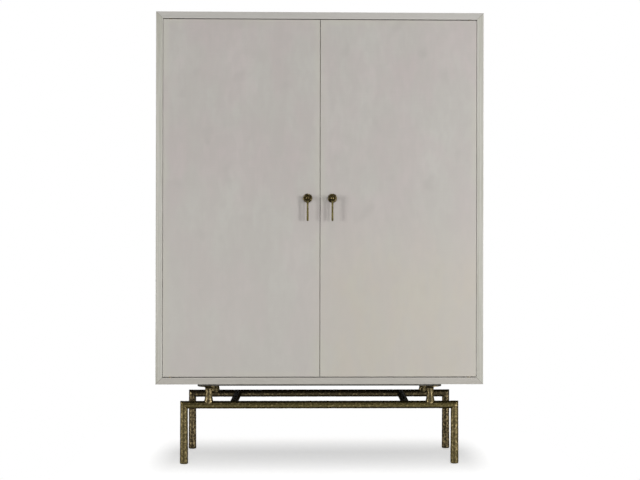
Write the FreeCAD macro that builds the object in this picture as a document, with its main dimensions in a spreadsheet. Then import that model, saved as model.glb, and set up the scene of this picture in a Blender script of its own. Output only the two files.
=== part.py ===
import FreeCAD, Part
import os
import re
import Sketcher
from FreeCAD import Placement, Rotation, Vector

# Bar armoire: a mitred two-door case on a stand of hammered round bar.
# Millimetres. +Z is up, the doors face -Y, and the origin is on the floor under the middle of the whole.

# Driving dimensions: alias, value, meaning
SIZES = [
    ("case_width", 1220, "outside width of the case"),
    ("case_depth", 508, "depth of the case, front edge to back edge"),
    ("case_height", 1386, "outside height of the case without the stand"),
    ("panel_thickness", 25, "thickness of the four case boards"),
    ("arris_round", 1.2, "rounding of the front edges of the case and the doors"),
    ("back_thickness", 9, "thickness of the back panel and depth of its rabbet"),
    ("rabbet_width", 10, "how far the back panel laps over each case board"),
    ("back_clearance", 0.3, "play around the back panel in its rabbet"),
    ("back_screw_length", 25, "length of a back panel screw"),
    ("back_screws_across", 4, "back screws along the top and along the bottom"),
    ("back_screws_up", 5, "back screws along each side"),
    ("spline_thickness", 4, "thickness of the spline in a corner mitre"),
    ("spline_width", 18, "width of the spline, half in each board"),
    ("spline_stop", 40, "distance of the spline's end behind the front edge"),
    ("glue_gap", 0.1, "room for glue on each side of a joint"),
    ("door_thickness", 22, "thickness of a door"),
    ("door_gap", 3, "gap above and below the doors"),
    ("hinge_gap", 1.5, "gap between a door's hinge edge and the case"),
    ("middle_gap", 2, "gap between the two doors"),
    ("door_setback", 1, "how far the doors sit behind the case's front edge"),
    ("pivot_inset", 27, "door's hinge edge to the hinge pivot"),
    ("pivot_back", 8.5, "door's face to the hinge pivot, near enough for the edge to clear the case"),
    ("leaf_reach", 50, "pivot to the far end of a hinge leaf"),
    ("leaf_width", 12, "width of a hinge leaf"),
    ("leaf_thickness", 3, "thickness of a hinge leaf and depth of its mortise"),
    ("leaf_screw_first", 18, "pivot to the first leaf screw"),
    ("leaf_screw_pitch", 20, "first leaf screw to the second"),
    ("pivot_diameter", 6, "hinge pin diameter"),
    ("boss_diameter", 10.5, "washer boss around the hinge pin"),
    ("running_clearance", 0.05, "radial play of a pin that turns, and play under a washer boss or shelf"),
    ("screw_diameter", 3.5, "small wood screw, across the thread"),
    ("screw_head", 7, "small wood screw, across the countersunk head"),
    ("screw_length", 18, "length of a hinge screw"),
    ("screw_clearance", 0.05, "radial play of a fastener in its hole"),
    ("pilot_spare", 1, "depth of a pilot hole beyond the screw's tip"),
    ("catch_height", 26, "height of a magnetic catch block"),
    ("catch_depth", 14, "depth of a magnetic catch block"),
    ("catch_margin", 4, "catch block beyond the outer edge of the strike button"),
    ("catch_gap", 0.3, "air between catch and strike button"),
    ("catch_screw_spacing", 16, "spacing of the two screws of a catch"),
    ("catch_screw_length", 40, "length of a catch screw"),
    ("strike_diameter", 16, "strike button diameter"),
    ("strike_thickness", 2, "strike button thickness"),
    ("strike_inset", 20.5, "door's free edge to the middle of the strike button"),
    ("spigot_diameter", 6, "strike button spigot diameter"),
    ("spigot_length", 10, "strike button spigot length"),
    ("pull_inset", 45, "door's free edge to the middle of the pull"),
    ("rosette_diameter", 34, "pull rosette diameter"),
    ("rosette_rim", 2.5, "thickness of the rosette at its rim"),
    ("rosette_crown", 5, "thickness of the rosette at its middle"),
    ("rosette_land", 1, "flat of the rosette around the knuckle"),
    ("rosette_dome", 30, "radius of the rosette's domed face in section"),
    ("tenon_diameter", 8, "stem of the pull's post through the rosette"),
    ("knuckle_diameter", 14, "diameter of the pull's post and its round end"),
    ("pivot_standoff", 20, "door's face to the pull's pivot"),
    ("tongue_thickness", 5, "thickness of the drop's tongue in the fork"),
    ("tongue_width", 7.5, "width of the drop's tongue"),
    ("tongue_clearance", 0.2, "play on each side of the tongue in the fork"),
    ("slot_relief", 2.2, "room behind the tongue in the fork"),
    ("drop_pin_diameter", 3, "cross pin of the pull"),
    ("drop_shoulder", 10, "pivot to the shoulder where the rod starts"),
    ("drop_lap", 4, "length of the tongue inside the rod"),
    ("drop_length", 85, "pivot to the tip of the drop"),
    ("collar_diameter", 11, "diameter of the drop's flared shoulder"),
    ("collar_length", 18, "length of the flare below the drop's shoulder"),
    ("collar_hollow", 80, "hollow of the drop's flare in section"),
    ("rod_diameter", 6.8, "diameter of the drop's rod below its flare"),
    ("rod_end_diameter", 7.6, "diameter of the drop's rod at its tip"),
    ("bolt_diameter", 4, "bolt through the door into the pull's post"),
    ("bolt_head_diameter", 9, "bolt head diameter"),
    ("bolt_head_height", 3, "bolt head height"),
    ("bolt_engagement", 10, "length of the bolt inside the post"),
    ("rail_height", 223, "floor to the middle of the stand's rails"),
    ("rail_diameter", 28, "bar of the rails and of the legs at the top"),
    ("leg_foot_diameter", 31, "leg diameter at the foot"),
    ("leg_taper_height", 190, "floor to the top of the leg's taper"),
    ("foot_round", 4, "rounding of the foot's edge"),
    ("leg_spacing", 1026, "distance between leg axes, left to right"),
    ("rail_setback", 90, "front and back of the case to the rail axes"),
    ("post_spacing", 840, "distance between post axes, left to right"),
    ("post_diameter", 24, "post diameter"),
    ("post_height", 72, "rail axis to the underside of the flange discs"),
    ("post_flare", 1.6, "how much the post's foot stands out"),
    ("flare_height", 8, "height of the post's flared foot above the rail"),
    ("flare_radius", 40, "hollow of the post's flared foot in section"),
    ("weld_size", 2.5, "weld fillet under a flange disc"),
    ("weld_gap", 0.1, "fit-up gap at a coped end"),
    ("disc_diameter", 84, "flange disc diameter"),
    ("disc_thickness", 4, "flange disc thickness"),
    ("disc_screws", 4, "screws in a flange disc"),
    ("disc_screw_circle", 60, "circle of the flange disc's screws"),
    ("stand_screw_diameter", 5, "stand screw, across the thread"),
    ("stand_screw_head", 9, "stand screw, across the countersunk head"),
    ("stand_screw_length", 32, "length of a stand screw"),
    ("board_thickness", 12, "mounting board between the discs and the case"),
    ("board_inset", 6, "how far the mounting board stays inside the outer edges of the discs"),
    ("stretcher_spacing", 658, "distance between stretcher axes, left to right"),
    ("stretcher_diameter", 28, "stretcher bar diameter"),
    ("shelf_thickness", 22, "thickness of the shelves"),
    ("shelf_setback", 45, "case front to the front edge of what is inside"),
    ("shelf_clearance", 0.8, "play at the ends and back of an adjustable shelf"),
    ("serving_height", 915, "floor to the top of the fixed serving shelf"),
    ("dado_depth", 8, "depth of the grooves for fixed shelf and partition"),
    ("partition_thickness", 22, "thickness of the lower partition"),
    ("upper_shelf_rise", 415, "serving shelf top to upper shelf top"),
    ("lower_shelf_rise", 290, "inside floor to lower shelf top"),
    ("pin_diameter", 5, "shelf pin diameter"),
    ("pin_hole_depth", 10, "depth of a shelf pin hole"),
    ("pin_reach", 8, "how far a shelf pin stands out"),
    ("pin_setback", 60, "shelf edge to the column of pin holes"),
    ("pin_pitch", 32, "spacing of pin holes up a column"),
    ("pin_rows", 7, "pin holes in a column"),
    ("runner_count", 6, "stemware rails under the upper shelf"),
    ("runner_pitch", 100, "spacing of the stemware rails"),
    ("runner_width", 68, "width of a stemware runner"),
    ("runner_thickness", 8, "thickness of a stemware runner"),
    ("runner_setback", 10, "shelf edge to the end of a stemware rail"),
    ("spacer_width", 12, "width of the strip between runner and shelf"),
    ("spacer_height", 18, "height of the strip between runner and shelf"),
    ("rack_thickness", 14, "thickness of the crossed bottle rack boards"),
]

# Places that follow from the driving dimensions
PLACES = [
    ("base_height", "rail_height + post_height + disc_thickness + board_thickness"),
    ("total_height", "base_height + case_height"),
    ("case_middle", "base_height + case_height / 2"),
    ("knuckle_radius", "knuckle_diameter / 2"),
    ("fork_half", "tongue_thickness / 2 + tongue_clearance"),
    ("ear_reach", "sqrt(knuckle_radius ^ 2 - fork_half ^ 2)"),
    ("pull_projection", "pivot_standoff + ear_reach - door_setback"),
    ("front_y", "(pull_projection - case_depth) / 2"),
    ("back_y", "front_y + case_depth"),
    ("half_inside", "case_width / 2 - panel_thickness"),
    ("inside_floor", "base_height + panel_thickness"),
    ("inside_top", "total_height - panel_thickness"),
    ("back_reach", "half_inside + rabbet_width - back_clearance"),
    ("back_low", "inside_floor - rabbet_width + back_clearance"),
    ("back_high", "inside_top + rabbet_width - back_clearance"),
    ("door_front", "front_y + door_setback"),
    ("door_back", "door_front + door_thickness"),
    ("door_bottom", "inside_floor + door_gap"),
    ("door_top", "inside_top - door_gap"),
    ("door_height", "door_top - door_bottom"),
    ("pivot_x", "half_inside - hinge_gap - pivot_inset"),
    ("pivot_depth", "door_setback + pivot_back"),
    ("pivot_y", "front_y + pivot_depth"),
    ("strike_x", "middle_gap / 2 + strike_inset"),
    ("catch_half", "strike_x + strike_diameter / 2 + catch_margin"),
    ("catch_front", "door_back + strike_thickness + catch_gap"),
    ("pull_x", "middle_gap / 2 + pull_inset"),
    ("pull_pivot_y", "door_front - pivot_standoff"),
    ("bolt_hole", "bolt_diameter + 2 * screw_clearance"),
    ("rail_radius", "rail_diameter / 2"),
    ("front_rail_y", "front_y + rail_setback"),
    ("rear_rail_y", "back_y - rail_setback"),
    ("disc_underside", "rail_height + post_height"),
    ("board_underside", "disc_underside + disc_thickness"),
    ("shelf_front", "front_y + shelf_setback"),
    ("shelf_back", "back_y - back_thickness"),
    ("shelf_depth", "shelf_back - shelf_front"),
    ("shelf_end", "case_depth - back_thickness"),
    ("serving_underside", "serving_height - shelf_thickness"),
    ("upper_shelf_bottom", "serving_height + upper_shelf_rise - shelf_thickness"),
    ("upper_pin_z", "upper_shelf_bottom - pin_diameter / 2 - running_clearance"),
    ("lower_shelf_bottom", "inside_floor + lower_shelf_rise - shelf_thickness"),
    ("lower_pin_z", "lower_shelf_bottom - pin_diameter / 2 - running_clearance"),
    ("pin_span", "(pin_rows - 1) * pin_pitch"),
    ("rack_width", "half_inside - partition_thickness / 2 - 2 * glue_gap"),
    ("rack_rise", "serving_underside - inside_floor - 2 * glue_gap"),
    ("rack_diagonal", "sqrt(rack_width ^ 2 + rack_rise ^ 2)"),
    ("rack_foot", "rack_thickness / 2 * rack_diagonal / rack_rise"),
    ("rack_heel", "rack_thickness / 2 * rack_diagonal / rack_width"),
]

doc = FreeCAD.newDocument("bar_armoire")
sheet = doc.addObject("Spreadsheet::Sheet", "sizes")
for row, (alias, size, meaning) in enumerate(SIZES, 1):
    sheet.set(f"A{row}", meaning)
    sheet.set(f"B{row}", str(size))
    sheet.setAlias(f"B{row}", alias)
doc.recompute()

WORD = re.compile(r"[a-z_]+[a-z0-9_]*")
OWNER = {alias: "sizes." + alias for alias, size, meaning in SIZES}
OWNER.update({name: "places." + name for name, text in PLACES})


def formula(text):
    """An expression of the document, with each size or place named through its owner."""
    return WORD.sub(lambda word: OWNER.get(word.group(), word.group()), text)


places = doc.addObject("App::VarSet", "places")
for name, text in PLACES:
    places.addProperty("App::PropertyFloat", name)
    places.setExpression(name, formula(text))
doc.recompute()


def value(text):
    """The number that a formula comes to."""
    return float(sheet.evalExpression(formula(text)))


def bind(thing, formulas):
    """Tie properties of a document object to formulas."""
    for path, text in formulas.items():
        thing.setExpression(path, formula(text))


def place(thing, x, y, z, turn=Rotation()):
    """Turn an object and tie its place to three formulas."""
    thing.Placement = Placement(Vector(), turn)
    bind(thing, {"Placement.Base.x": x, "Placement.Base.y": y, "Placement.Base.z": z})


nodes = {}


def node(thing):
    """Count an object as a sub-part of the armoire, named by its label."""
    nodes[thing.Label] = thing
    return thing


# Ways of making a piece

def new_body(label, x, y, z, turn=Rotation()):
    body = doc.addObject("PartDesign::Body", label)
    body.Label = label
    place(body, x, y, z, turn)
    return body


def origin_feature(body, role):
    return next(feature for feature in body.Origin.OriginFeatures if feature.Role == role)


def new_sketch(body, plane, shift):
    """A sketch on one of the body's own planes, moved along the plane's normal."""
    sketch = body.newObject("Sketcher::SketchObject", "outline")
    sketch.AttachmentSupport = (origin_feature(body, plane), [""])
    sketch.MapMode = "FlatFace"
    bind(sketch, {"AttachmentOffset.Base.z": shift})
    return sketch


def fix_point(sketch, name, edge, end, x, y):
    """Tie one point of a sketch to two formulas, measured from the sketch's origin."""
    for letter, text in (("X", x), ("Y", y)):
        spot = Sketcher.Constraint("Distance" + letter, -1, 1, edge, end, value(text))
        sketch.renameConstraint(sketch.addConstraint(spot), name + letter)
        bind(sketch, {f"Constraints.{name}{letter}": text})


def arc_between(start, end, radius, turn):
    """An arc of under a half circle from start to end: turn is 1 to the left, -1 to the right."""
    chord = end - start
    to_middle = (radius ** 2 - (chord.Length / 2) ** 2) ** 0.5
    leftwards = Vector(-chord.y, chord.x, 0).normalize()
    middle = (start + end) / 2 + leftwards * (turn * to_middle)
    out = ((start + end) / 2 - middle).normalize() if to_middle > 0 else leftwards * -turn
    return Part.Arc(start, middle + out * radius, end)


def outline(body, plane, points, shift="0"):
    """A closed sketch through points given as formulas.

    A point may carry a radius and a turn, and the edge that leaves it is then an arc.
    """
    sketch = new_sketch(body, plane, shift)
    corners = [Vector(value(point[0]), value(point[1]), 0) for point in points]
    ends = []
    for index, point in enumerate(points):
        start, end = corners[index], corners[(index + 1) % len(points)]
        if len(point) == 2:
            sketch.addGeometry(Part.LineSegment(start, end))
            ends.append((1, 2))
        else:
            sketch.addGeometry(arc_between(start, end, value(point[2]), point[3]))
            first = sketch.getPoint(index, 1)
            ends.append((1, 2) if first.isEqual(start, 1e-6) else (2, 1))
    for index, point in enumerate(points):
        following = (index + 1) % len(points)
        join = Sketcher.Constraint("Coincident", index, ends[index][1], following, ends[following][0])
        sketch.addConstraint(join)
        fix_point(sketch, f"corner{index}", index, ends[index][0], point[0], point[1])
        if len(point) > 2:
            size = Sketcher.Constraint("Radius", index, value(point[2]))
            sketch.renameConstraint(sketch.addConstraint(size), f"arc{index}")
            bind(sketch, {f"Constraints.arc{index}": point[2]})
    return sketch


def rectangle(left, low, right, high):
    return [(left, low), (right, low), (right, high), (left, high)]


def circles(body, plane, centres, diameter, shift="0"):
    """A sketch of equal circles."""
    sketch = new_sketch(body, plane, shift)
    radius = f"({diameter}) / 2"
    for index, (x, y) in enumerate(centres):
        sketch.addGeometry(Part.Circle(Vector(value(x), value(y), 0), Vector(0, 0, 1), value(radius)))
        fix_point(sketch, f"centre{index}", index, 3, x, y)
        size = Sketcher.Constraint("Radius", index, value(radius))
        sketch.renameConstraint(sketch.addConstraint(size), f"radius{index}")
        bind(sketch, {f"Constraints.radius{index}": radius})
    return sketch


def sweep_straight(body, kind, sketch, length, flip, both_ways):
    feature = body.newObject("PartDesign::" + kind, kind.lower())
    feature.Profile = sketch
    feature.SideType = "Symmetric" if both_ways else "One side"
    feature.Reversed = flip
    bind(feature, {"Length": length})
    doc.recompute()
    return feature


def pad(body, sketch, length, flip=False, both_ways=False):
    return sweep_straight(body, "Pad", sketch, length, flip, both_ways)


def must_cut(body, feature, before):
    """Stop where a cut took nothing away."""
    if not feature.Shape.Volume < before:
        raise RuntimeError(f"{body.Label}: {feature.Name} cuts nothing")
    return feature


def pocket(body, sketch, depth, flip=False, both_ways=False):
    before = body.Shape.Volume
    return must_cut(body, sweep_straight(body, "Pocket", sketch, depth, flip, both_ways), before)


def countersink(body, sketch, diameter, head, flip=False):
    """Countersunk holes right through, at the circles of a sketch."""
    before = body.Shape.Volume
    doc.recompute()
    hole = body.newObject("PartDesign::Hole", "hole")
    hole.Profile = sketch
    doc.recompute()
    hole.ThreadType = 0
    hole.DepthType = "ThroughAll"
    hole.HoleCutType = "Countersink"
    hole.HoleCutCountersinkAngle = 90
    hole.Reversed = flip
    bind(hole, {"Diameter": f"{diameter} + 2 * screw_clearance"})
    bind(hole, {"HoleCutDiameter": f"{head} + 2 * screw_clearance"})
    doc.recompute()
    return must_cut(body, hole, before)


def revolve(body, sketch, axis):
    feature = body.newObject("PartDesign::Revolution", "turning")
    feature.Profile = sketch
    feature.ReferenceAxis = (origin_feature(body, axis), [""])
    feature.Angle = 360
    doc.recompute()
    return feature


def repeat_along(body, feature, axis, length, count):
    pattern = body.newObject("PartDesign::LinearPattern", "row")
    pattern.Originals = [feature]
    pattern.Direction = (origin_feature(body, axis), [""])
    bind(pattern, {"Length": length, "Occurrences": count})
    body.Tip = pattern
    doc.recompute()


def round_edges(body, wanted, radius):
    """Round the edges of the body's last feature that pass a test."""
    base = body.Tip
    found = [f"Edge{index}" for index, edge in enumerate(base.Shape.Edges, 1) if wanted(edge)]
    rounding = body.newObject("PartDesign::Fillet", "rounding")
    rounding.Base = (base, found)
    bind(rounding, {"Radius": radius})
    doc.recompute()


def box(label, length, width, height, x, y, z):
    block = doc.addObject("Part::Box", label)
    block.Label = label
    bind(block, {"Length": length, "Width": width, "Height": height})
    place(block, x, y, z)
    return block


def cylinder(label, diameter, length, x, y, z):
    """A bar along X that starts at a place."""
    bar = doc.addObject("Part::Cylinder", label)
    bar.Label = label
    bind(bar, {"Radius": f"({diameter}) / 2", "Height": length})
    place(bar, x, y, z, Rotation(Vector(0, 1, 0), 90))
    return bar


def group(label, members):
    """Like pieces that share one name."""
    cluster = doc.addObject("Part::Compound", label)
    cluster.Label = label
    cluster.Links = members
    doc.recompute()
    return node(cluster)


def screws(label, diameter, sets):
    """Countersunk screws of one thread size: sets of head diameter, length, spots and direction."""
    solids = []
    for head, length, spots, direction in sets:
        shank, crown, reach = value(diameter) / 2, value(head) / 2, value(length)
        tip = reach - shank
        profile = [(0, 0), (crown, 0), (shank, crown - shank), (shank, tip), (0, reach)]
        wire = Part.makePolygon([Vector(radius, 0, depth) for radius, depth in profile + profile[:1]])
        screw = Part.Face(wire).revolve(Vector(), Vector(0, 0, 1), 360)
        turn = Rotation(Vector(0, 0, 1), direction)
        for spot in spots:
            copy = screw.copy()
            copy.Placement = Placement(Vector(*[value(text) for text in spot]), turn)
            solids.append(copy)
    cluster = doc.addObject("Part::Feature", label)
    cluster.Label = label
    cluster.Shape = Part.makeCompound(solids)
    cluster.Placement = Placement()
    return node(cluster)


UP, DOWN = Vector(0, 0, 1), Vector(0, 0, -1)
FORWARD = Vector(0, -1, 0)
LEFT, RIGHT = -1, 1
SIDE_NAMES = {LEFT: "left", RIGHT: "right"}
HALF_TURN_X = Rotation(Vector(1, 0, 0), 180)
HALF_TURN_Y = Rotation(Vector(0, 1, 0), 180)
HALF_TURN_Z = Rotation(Vector(0, 0, 1), 180)
DRILLED = "screw_diameter + 2 * screw_clearance"


# Places that several pieces share

def leaf_points(x, y, inward, gap="0"):
    """Outline of a hinge leaf: round about the pivot, square at the far end."""
    reach = f"leaf_width / 2 + {gap}"
    far = f"{x} + {inward} * (leaf_reach + {gap})"
    return [
        (x, f"{y} - ({reach})"),
        (far, f"{y} - ({reach})"),
        (far, f"{y} + {reach}"),
        (x, f"{y} + {reach}", reach, inward),
        (f"{x} - {inward} * ({reach})", y, reach, inward),
    ]


def leaf_screw_spots(x, y, inward):
    return [(f"{x} + {inward} * (leaf_screw_first + {index} * leaf_screw_pitch)", y) for index in range(2)]


def spline_points(side, length, gap):
    """Outline of a mitre spline, square to the mitre at the end of a board."""
    points = []
    for along, across in ((1, 1), (1, -1), (-1, -1), (-1, 1)):
        lengthwise = f"{along} * (spline_width / 2 + {gap})"
        crosswise = f"{across} * (spline_thickness / 2 + {gap})"
        reach = f"({length}) / 2 - panel_thickness / 2 + cos(45) * ({lengthwise} + {crosswise})"
        rise = f"cos(45) * ({crosswise} - {lengthwise}) - panel_thickness / 2"
        points.append((f"{side} * ({reach})", rise))
    return points


def back_screw_offset(index, count, length):
    return f"({index} - ({count} - 1) / 2) * {length} / {count}"


def stand_screw_spots():
    """Middles of the flange discs' screws, seen from above."""
    spots = []
    count = int(value("disc_screws"))
    for side in (LEFT, RIGHT):
        for rail_y in ("front_rail_y", "rear_rail_y"):
            for index in range(count):
                angle = f"(45 + {index} * 360 / disc_screws)"
                x = f"{side} * post_spacing / 2 + disc_screw_circle / 2 * cos({angle})"
                y = f"{rail_y} + disc_screw_circle / 2 * sin({angle})"
                spots.append((x, y))
    return spots


# Case: four boards mitred at the corners, outer face at local z = 0 and front edge at local y = 0

def case_board(label, length, screw_count, x, z, turn):
    board = new_body(label, x, "front_y", z, turn)
    half = f"({length}) / 2"
    section = [
        (f"-{half}", "0"),
        (f"panel_thickness - {half}", "-panel_thickness"),
        (f"{half} - panel_thickness", "-panel_thickness"),
        (half, "0"),
    ]
    pad(board, outline(board, "XZ_Plane", section), "case_depth", flip=True)
    wall = value("panel_thickness")

    def front_arris(edge):
        return edge.Length > 2 * wall and all(abs(vertex.Y) < 1e-6 for vertex in edge.Vertexes)

    round_edges(board, front_arris, "arris_round")
    rabbet = rectangle("shelf_end", "-panel_thickness", "case_depth", "rabbet_width - panel_thickness")
    pocket(board, outline(board, "YZ_Plane", rabbet), length, both_ways=True)
    for side in (LEFT, RIGHT):
        groove = outline(board, "XZ_Plane", spline_points(side, length, "glue_gap"), "-spline_stop")
        pocket(board, groove, "shelf_end - spline_stop")
    count = int(value(screw_count))
    ledge = "rabbet_width / 2 - panel_thickness"
    pilots = [(back_screw_offset(index, screw_count, length), ledge) for index in range(count)]
    drilled = circles(board, "XZ_Plane", pilots, DRILLED, "-shelf_end")
    pocket(board, drilled, "back_screw_length - back_thickness + pilot_spare", flip=True)
    return node(board)


def hinge_mortises(board):
    """Mortises for the hinge leaves, and pilot holes for their screws and the catch's."""
    for side in (LEFT, RIGHT):
        pivot = f"{side} * pivot_x"
        mortise = leaf_points(pivot, "pivot_depth", -side, "glue_gap")
        pocket(board, outline(board, "XY_Plane", mortise, "-panel_thickness"), "leaf_thickness", flip=True)
        pilots = circles(board, "XY_Plane", leaf_screw_spots(pivot, "pivot_depth", -side), DRILLED,
                         "leaf_thickness - panel_thickness")
        pocket(board, pilots, "screw_length - leaf_thickness + pilot_spare", flip=True)
    catch_spots = [(f"{side} * catch_screw_spacing / 2", "catch_front - front_y + catch_depth / 2")
                   for side in (LEFT, RIGHT)]
    pilots = circles(board, "XY_Plane", catch_spots, DRILLED, "-panel_thickness")
    pocket(board, pilots, "catch_screw_length - catch_height + pilot_spare", flip=True)


def pin_holes(board, pin_z, upwards):
    """Two columns of shelf pin holes in a side board; upwards is the sense of its local x."""
    lowest = f"{upwards} * ({pin_z} - case_middle) - pin_span / 2"
    columns = [(lowest, "shelf_setback + pin_setback"), (lowest, "shelf_end - pin_setback")]
    first = pocket(board, circles(board, "XY_Plane", columns, "pin_diameter + 2 * screw_clearance",
                                  "-panel_thickness"), "pin_hole_depth", flip=True)
    repeat_along(board, first, "X_Axis", "pin_span", "pin_rows")


case_top = case_board("case_top", "case_width", "back_screws_across", "0", "total_height", Rotation())
hinge_mortises(case_top)

case_bottom = case_board("case_bottom", "case_width", "back_screws_across", "0", "base_height", HALF_TURN_Y)
hinge_mortises(case_bottom)
partition_dado = rectangle("-partition_thickness / 2 - glue_gap", "shelf_setback",
                           "partition_thickness / 2 + glue_gap", "shelf_end")
partition_groove = outline(case_bottom, "XY_Plane", partition_dado, "-panel_thickness")
pocket(case_bottom, partition_groove, "dado_depth", flip=True)
STAND_DRILLED = "stand_screw_diameter + 2 * screw_clearance"
stand_pilots = [(f"-({x})", f"{y} - front_y") for x, y in stand_screw_spots()]
pocket(case_bottom, circles(case_bottom, "XY_Plane", stand_pilots, STAND_DRILLED),
       "stand_screw_length - disc_thickness - board_thickness + pilot_spare")

for side in (LEFT, RIGHT):
    upwards = -side
    board = case_board(f"case_{SIDE_NAMES[side]}_side", "case_height", "back_screws_up",
                       f"{side} * case_width / 2", "case_middle", Rotation(Vector(0, 1, 0), 90 * side))
    low_edge = f"{upwards} * (serving_underside - case_middle) - {upwards} * glue_gap"
    high_edge = f"{upwards} * (serving_height - case_middle) + {upwards} * glue_gap"
    dado = rectangle(low_edge, "shelf_setback", high_edge, "shelf_end")
    pocket(board, outline(board, "XY_Plane", dado, "-panel_thickness"), "dado_depth", flip=True)
    pin_holes(board, "upper_pin_z", upwards)
    if side == RIGHT:
        pin_holes(board, "lower_pin_z", upwards)

# Splines of hard wood in the four mitres
splines = []
for level, height, turn in (("top", "total_height", Rotation()), ("bottom", "base_height", HALF_TURN_Y)):
    for side in (LEFT, RIGHT):
        spline = new_body(f"{level}_spline", "0", "front_y", height, turn)
        section = spline_points(side, "case_width", "0")
        pad(spline, outline(spline, "XZ_Plane", section, "-spline_stop - glue_gap"),
            "shelf_end - spline_stop - glue_gap", flip=True)
        splines.append(spline)
group("mitre_splines", splines)

# Back panel, screwed into the rabbet
back_screw_places = []
for index in range(int(value("back_screws_across"))):
    x = back_screw_offset(index, "back_screws_across", "case_width")
    back_screw_places.append((x, "inside_top + rabbet_width / 2"))
    back_screw_places.append((x, "inside_floor - rabbet_width / 2"))
for index in range(int(value("back_screws_up"))):
    z = "case_middle + " + back_screw_offset(index, "back_screws_up", "case_height")
    back_screw_places.append(("half_inside + rabbet_width / 2", z))
    back_screw_places.append(("-half_inside - rabbet_width / 2", z))

back_panel = new_body("back_panel", "0", "shelf_back", "0")
panel = rectangle("-back_reach", "back_low", "back_reach", "back_high")
pad(back_panel, outline(back_panel, "XZ_Plane", panel), "back_thickness", flip=True)
countersink(back_panel, circles(back_panel, "XZ_Plane", back_screw_places, DRILLED, "-back_thickness"),
            "screw_diameter", "screw_head", flip=True)
node(back_panel)
screws("back_screws", "screw_diameter",
       [("screw_head", "back_screw_length", [(x, "back_y", z) for x, z in back_screw_places], FORWARD)])

# Doors: flush slabs hung on knife hinges let into their top and bottom edges

def hinge_leaf_parts(side, level):
    """The case leaf with its washer boss and pin, and the door leaf that turns on it."""
    turns = {
        (LEFT, "top"): Rotation(),
        (LEFT, "bottom"): HALF_TURN_X,
        (RIGHT, "top"): HALF_TURN_Z,
        (RIGHT, "bottom"): HALF_TURN_Y,
    }
    turn = turns[side, level]
    name = f"{SIDE_NAMES[side]}_{level}_hinge"
    faces = {"top": ("inside_top", "door_top"), "bottom": ("inside_floor", "door_bottom")}
    case_face, door_edge = faces[level]
    pivot = f"{side} * pivot_x"

    case_leaf = new_body(f"{name}_case_leaf", pivot, "pivot_y", case_face, turn)
    pad(case_leaf, outline(case_leaf, "XY_Plane", leaf_points("0", "0", 1)), "leaf_thickness")
    pad(case_leaf, circles(case_leaf, "XY_Plane", [("0", "0")], "boss_diameter"),
        "door_gap - running_clearance", flip=True)
    pad(case_leaf, circles(case_leaf, "XY_Plane", [("0", "0")], "pivot_diameter"),
        "door_gap + leaf_thickness - running_clearance", flip=True)
    countersink(case_leaf, circles(case_leaf, "XY_Plane", leaf_screw_spots("0", "0", 1), DRILLED),
                "screw_diameter", "screw_head", flip=True)
    node(case_leaf)

    door_leaf = new_body(f"{name}_door_leaf", pivot, "pivot_y", door_edge, turn)
    pad(door_leaf, outline(door_leaf, "XY_Plane", leaf_points("0", "0", 1)), "leaf_thickness", flip=True)
    bore = circles(door_leaf, "XY_Plane", [("0", "0")], "pivot_diameter + 2 * running_clearance")
    pocket(door_leaf, bore, "leaf_thickness")
    countersink(door_leaf, circles(door_leaf, "XY_Plane", leaf_screw_spots("0", "0", 1), DRILLED),
                "screw_diameter", "screw_head")
    node(door_leaf)


def strike_heights():
    return ["inside_top - catch_height / 2", "inside_floor + catch_height / 2"]


def door_slab(side):
    door = new_body(f"{SIDE_NAMES[side]}_door", "0", "door_front", "door_bottom")
    hinge_edge, free_edge = f"{side} * (half_inside - hinge_gap)", f"{side} * middle_gap / 2"
    slab = rectangle(hinge_edge, "0", free_edge, "door_thickness")
    pad(door, outline(door, "XY_Plane", slab), "door_height")

    def front_arris(edge):
        return all(abs(vertex.Y) < 1e-6 for vertex in edge.Vertexes)

    round_edges(door, front_arris, "arris_round")
    pivot = f"{side} * pivot_x"
    levels = (("door_height", "door_height - leaf_thickness", False), ("0", "leaf_thickness", True))
    for edge_height, mortise_floor, flip in levels:
        mortise = leaf_points(pivot, "pivot_back", -side, "glue_gap")
        pocket(door, outline(door, "XY_Plane", mortise, edge_height), "leaf_thickness", flip=flip)
        pilots = circles(door, "XY_Plane", leaf_screw_spots(pivot, "pivot_back", -side), DRILLED, mortise_floor)
        pocket(door, pilots, "screw_length - leaf_thickness + pilot_spare", flip=flip)
    strikes = [(f"{side} * strike_x", f"{height} - door_bottom") for height in strike_heights()]
    sockets = circles(door, "XZ_Plane", strikes, "spigot_diameter + 2 * screw_clearance", "-door_thickness")
    pocket(door, sockets, "spigot_length + pilot_spare", flip=True)
    bolt_hole = circles(door, "XZ_Plane", [(f"{side} * pull_x", "case_middle - door_bottom")], "bolt_hole")
    pocket(door, bolt_hole, "door_thickness")
    node(door)


def strike_buttons(side):
    """Steel buttons on the inner face that the catches hold."""
    buttons = []
    for height in strike_heights():
        button = new_body(f"{SIDE_NAMES[side]}_strike_button", f"{side} * strike_x", "door_back", height)
        profile = [
            ("-spigot_length", "0"),
            ("strike_thickness", "0"),
            ("strike_thickness", "strike_diameter / 2"),
            ("0", "strike_diameter / 2"),
            ("0", "spigot_diameter / 2"),
            ("-spigot_length", "spigot_diameter / 2"),
        ]
        revolve(button, outline(button, "YZ_Plane", profile), "Y_Axis")
        buttons.append(button)
    group(f"{SIDE_NAMES[side]}_strike_buttons", buttons)


# Drop pulls: rosette, forked post, cross pin, hanging rod, and the bolt that holds them to the door

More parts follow.
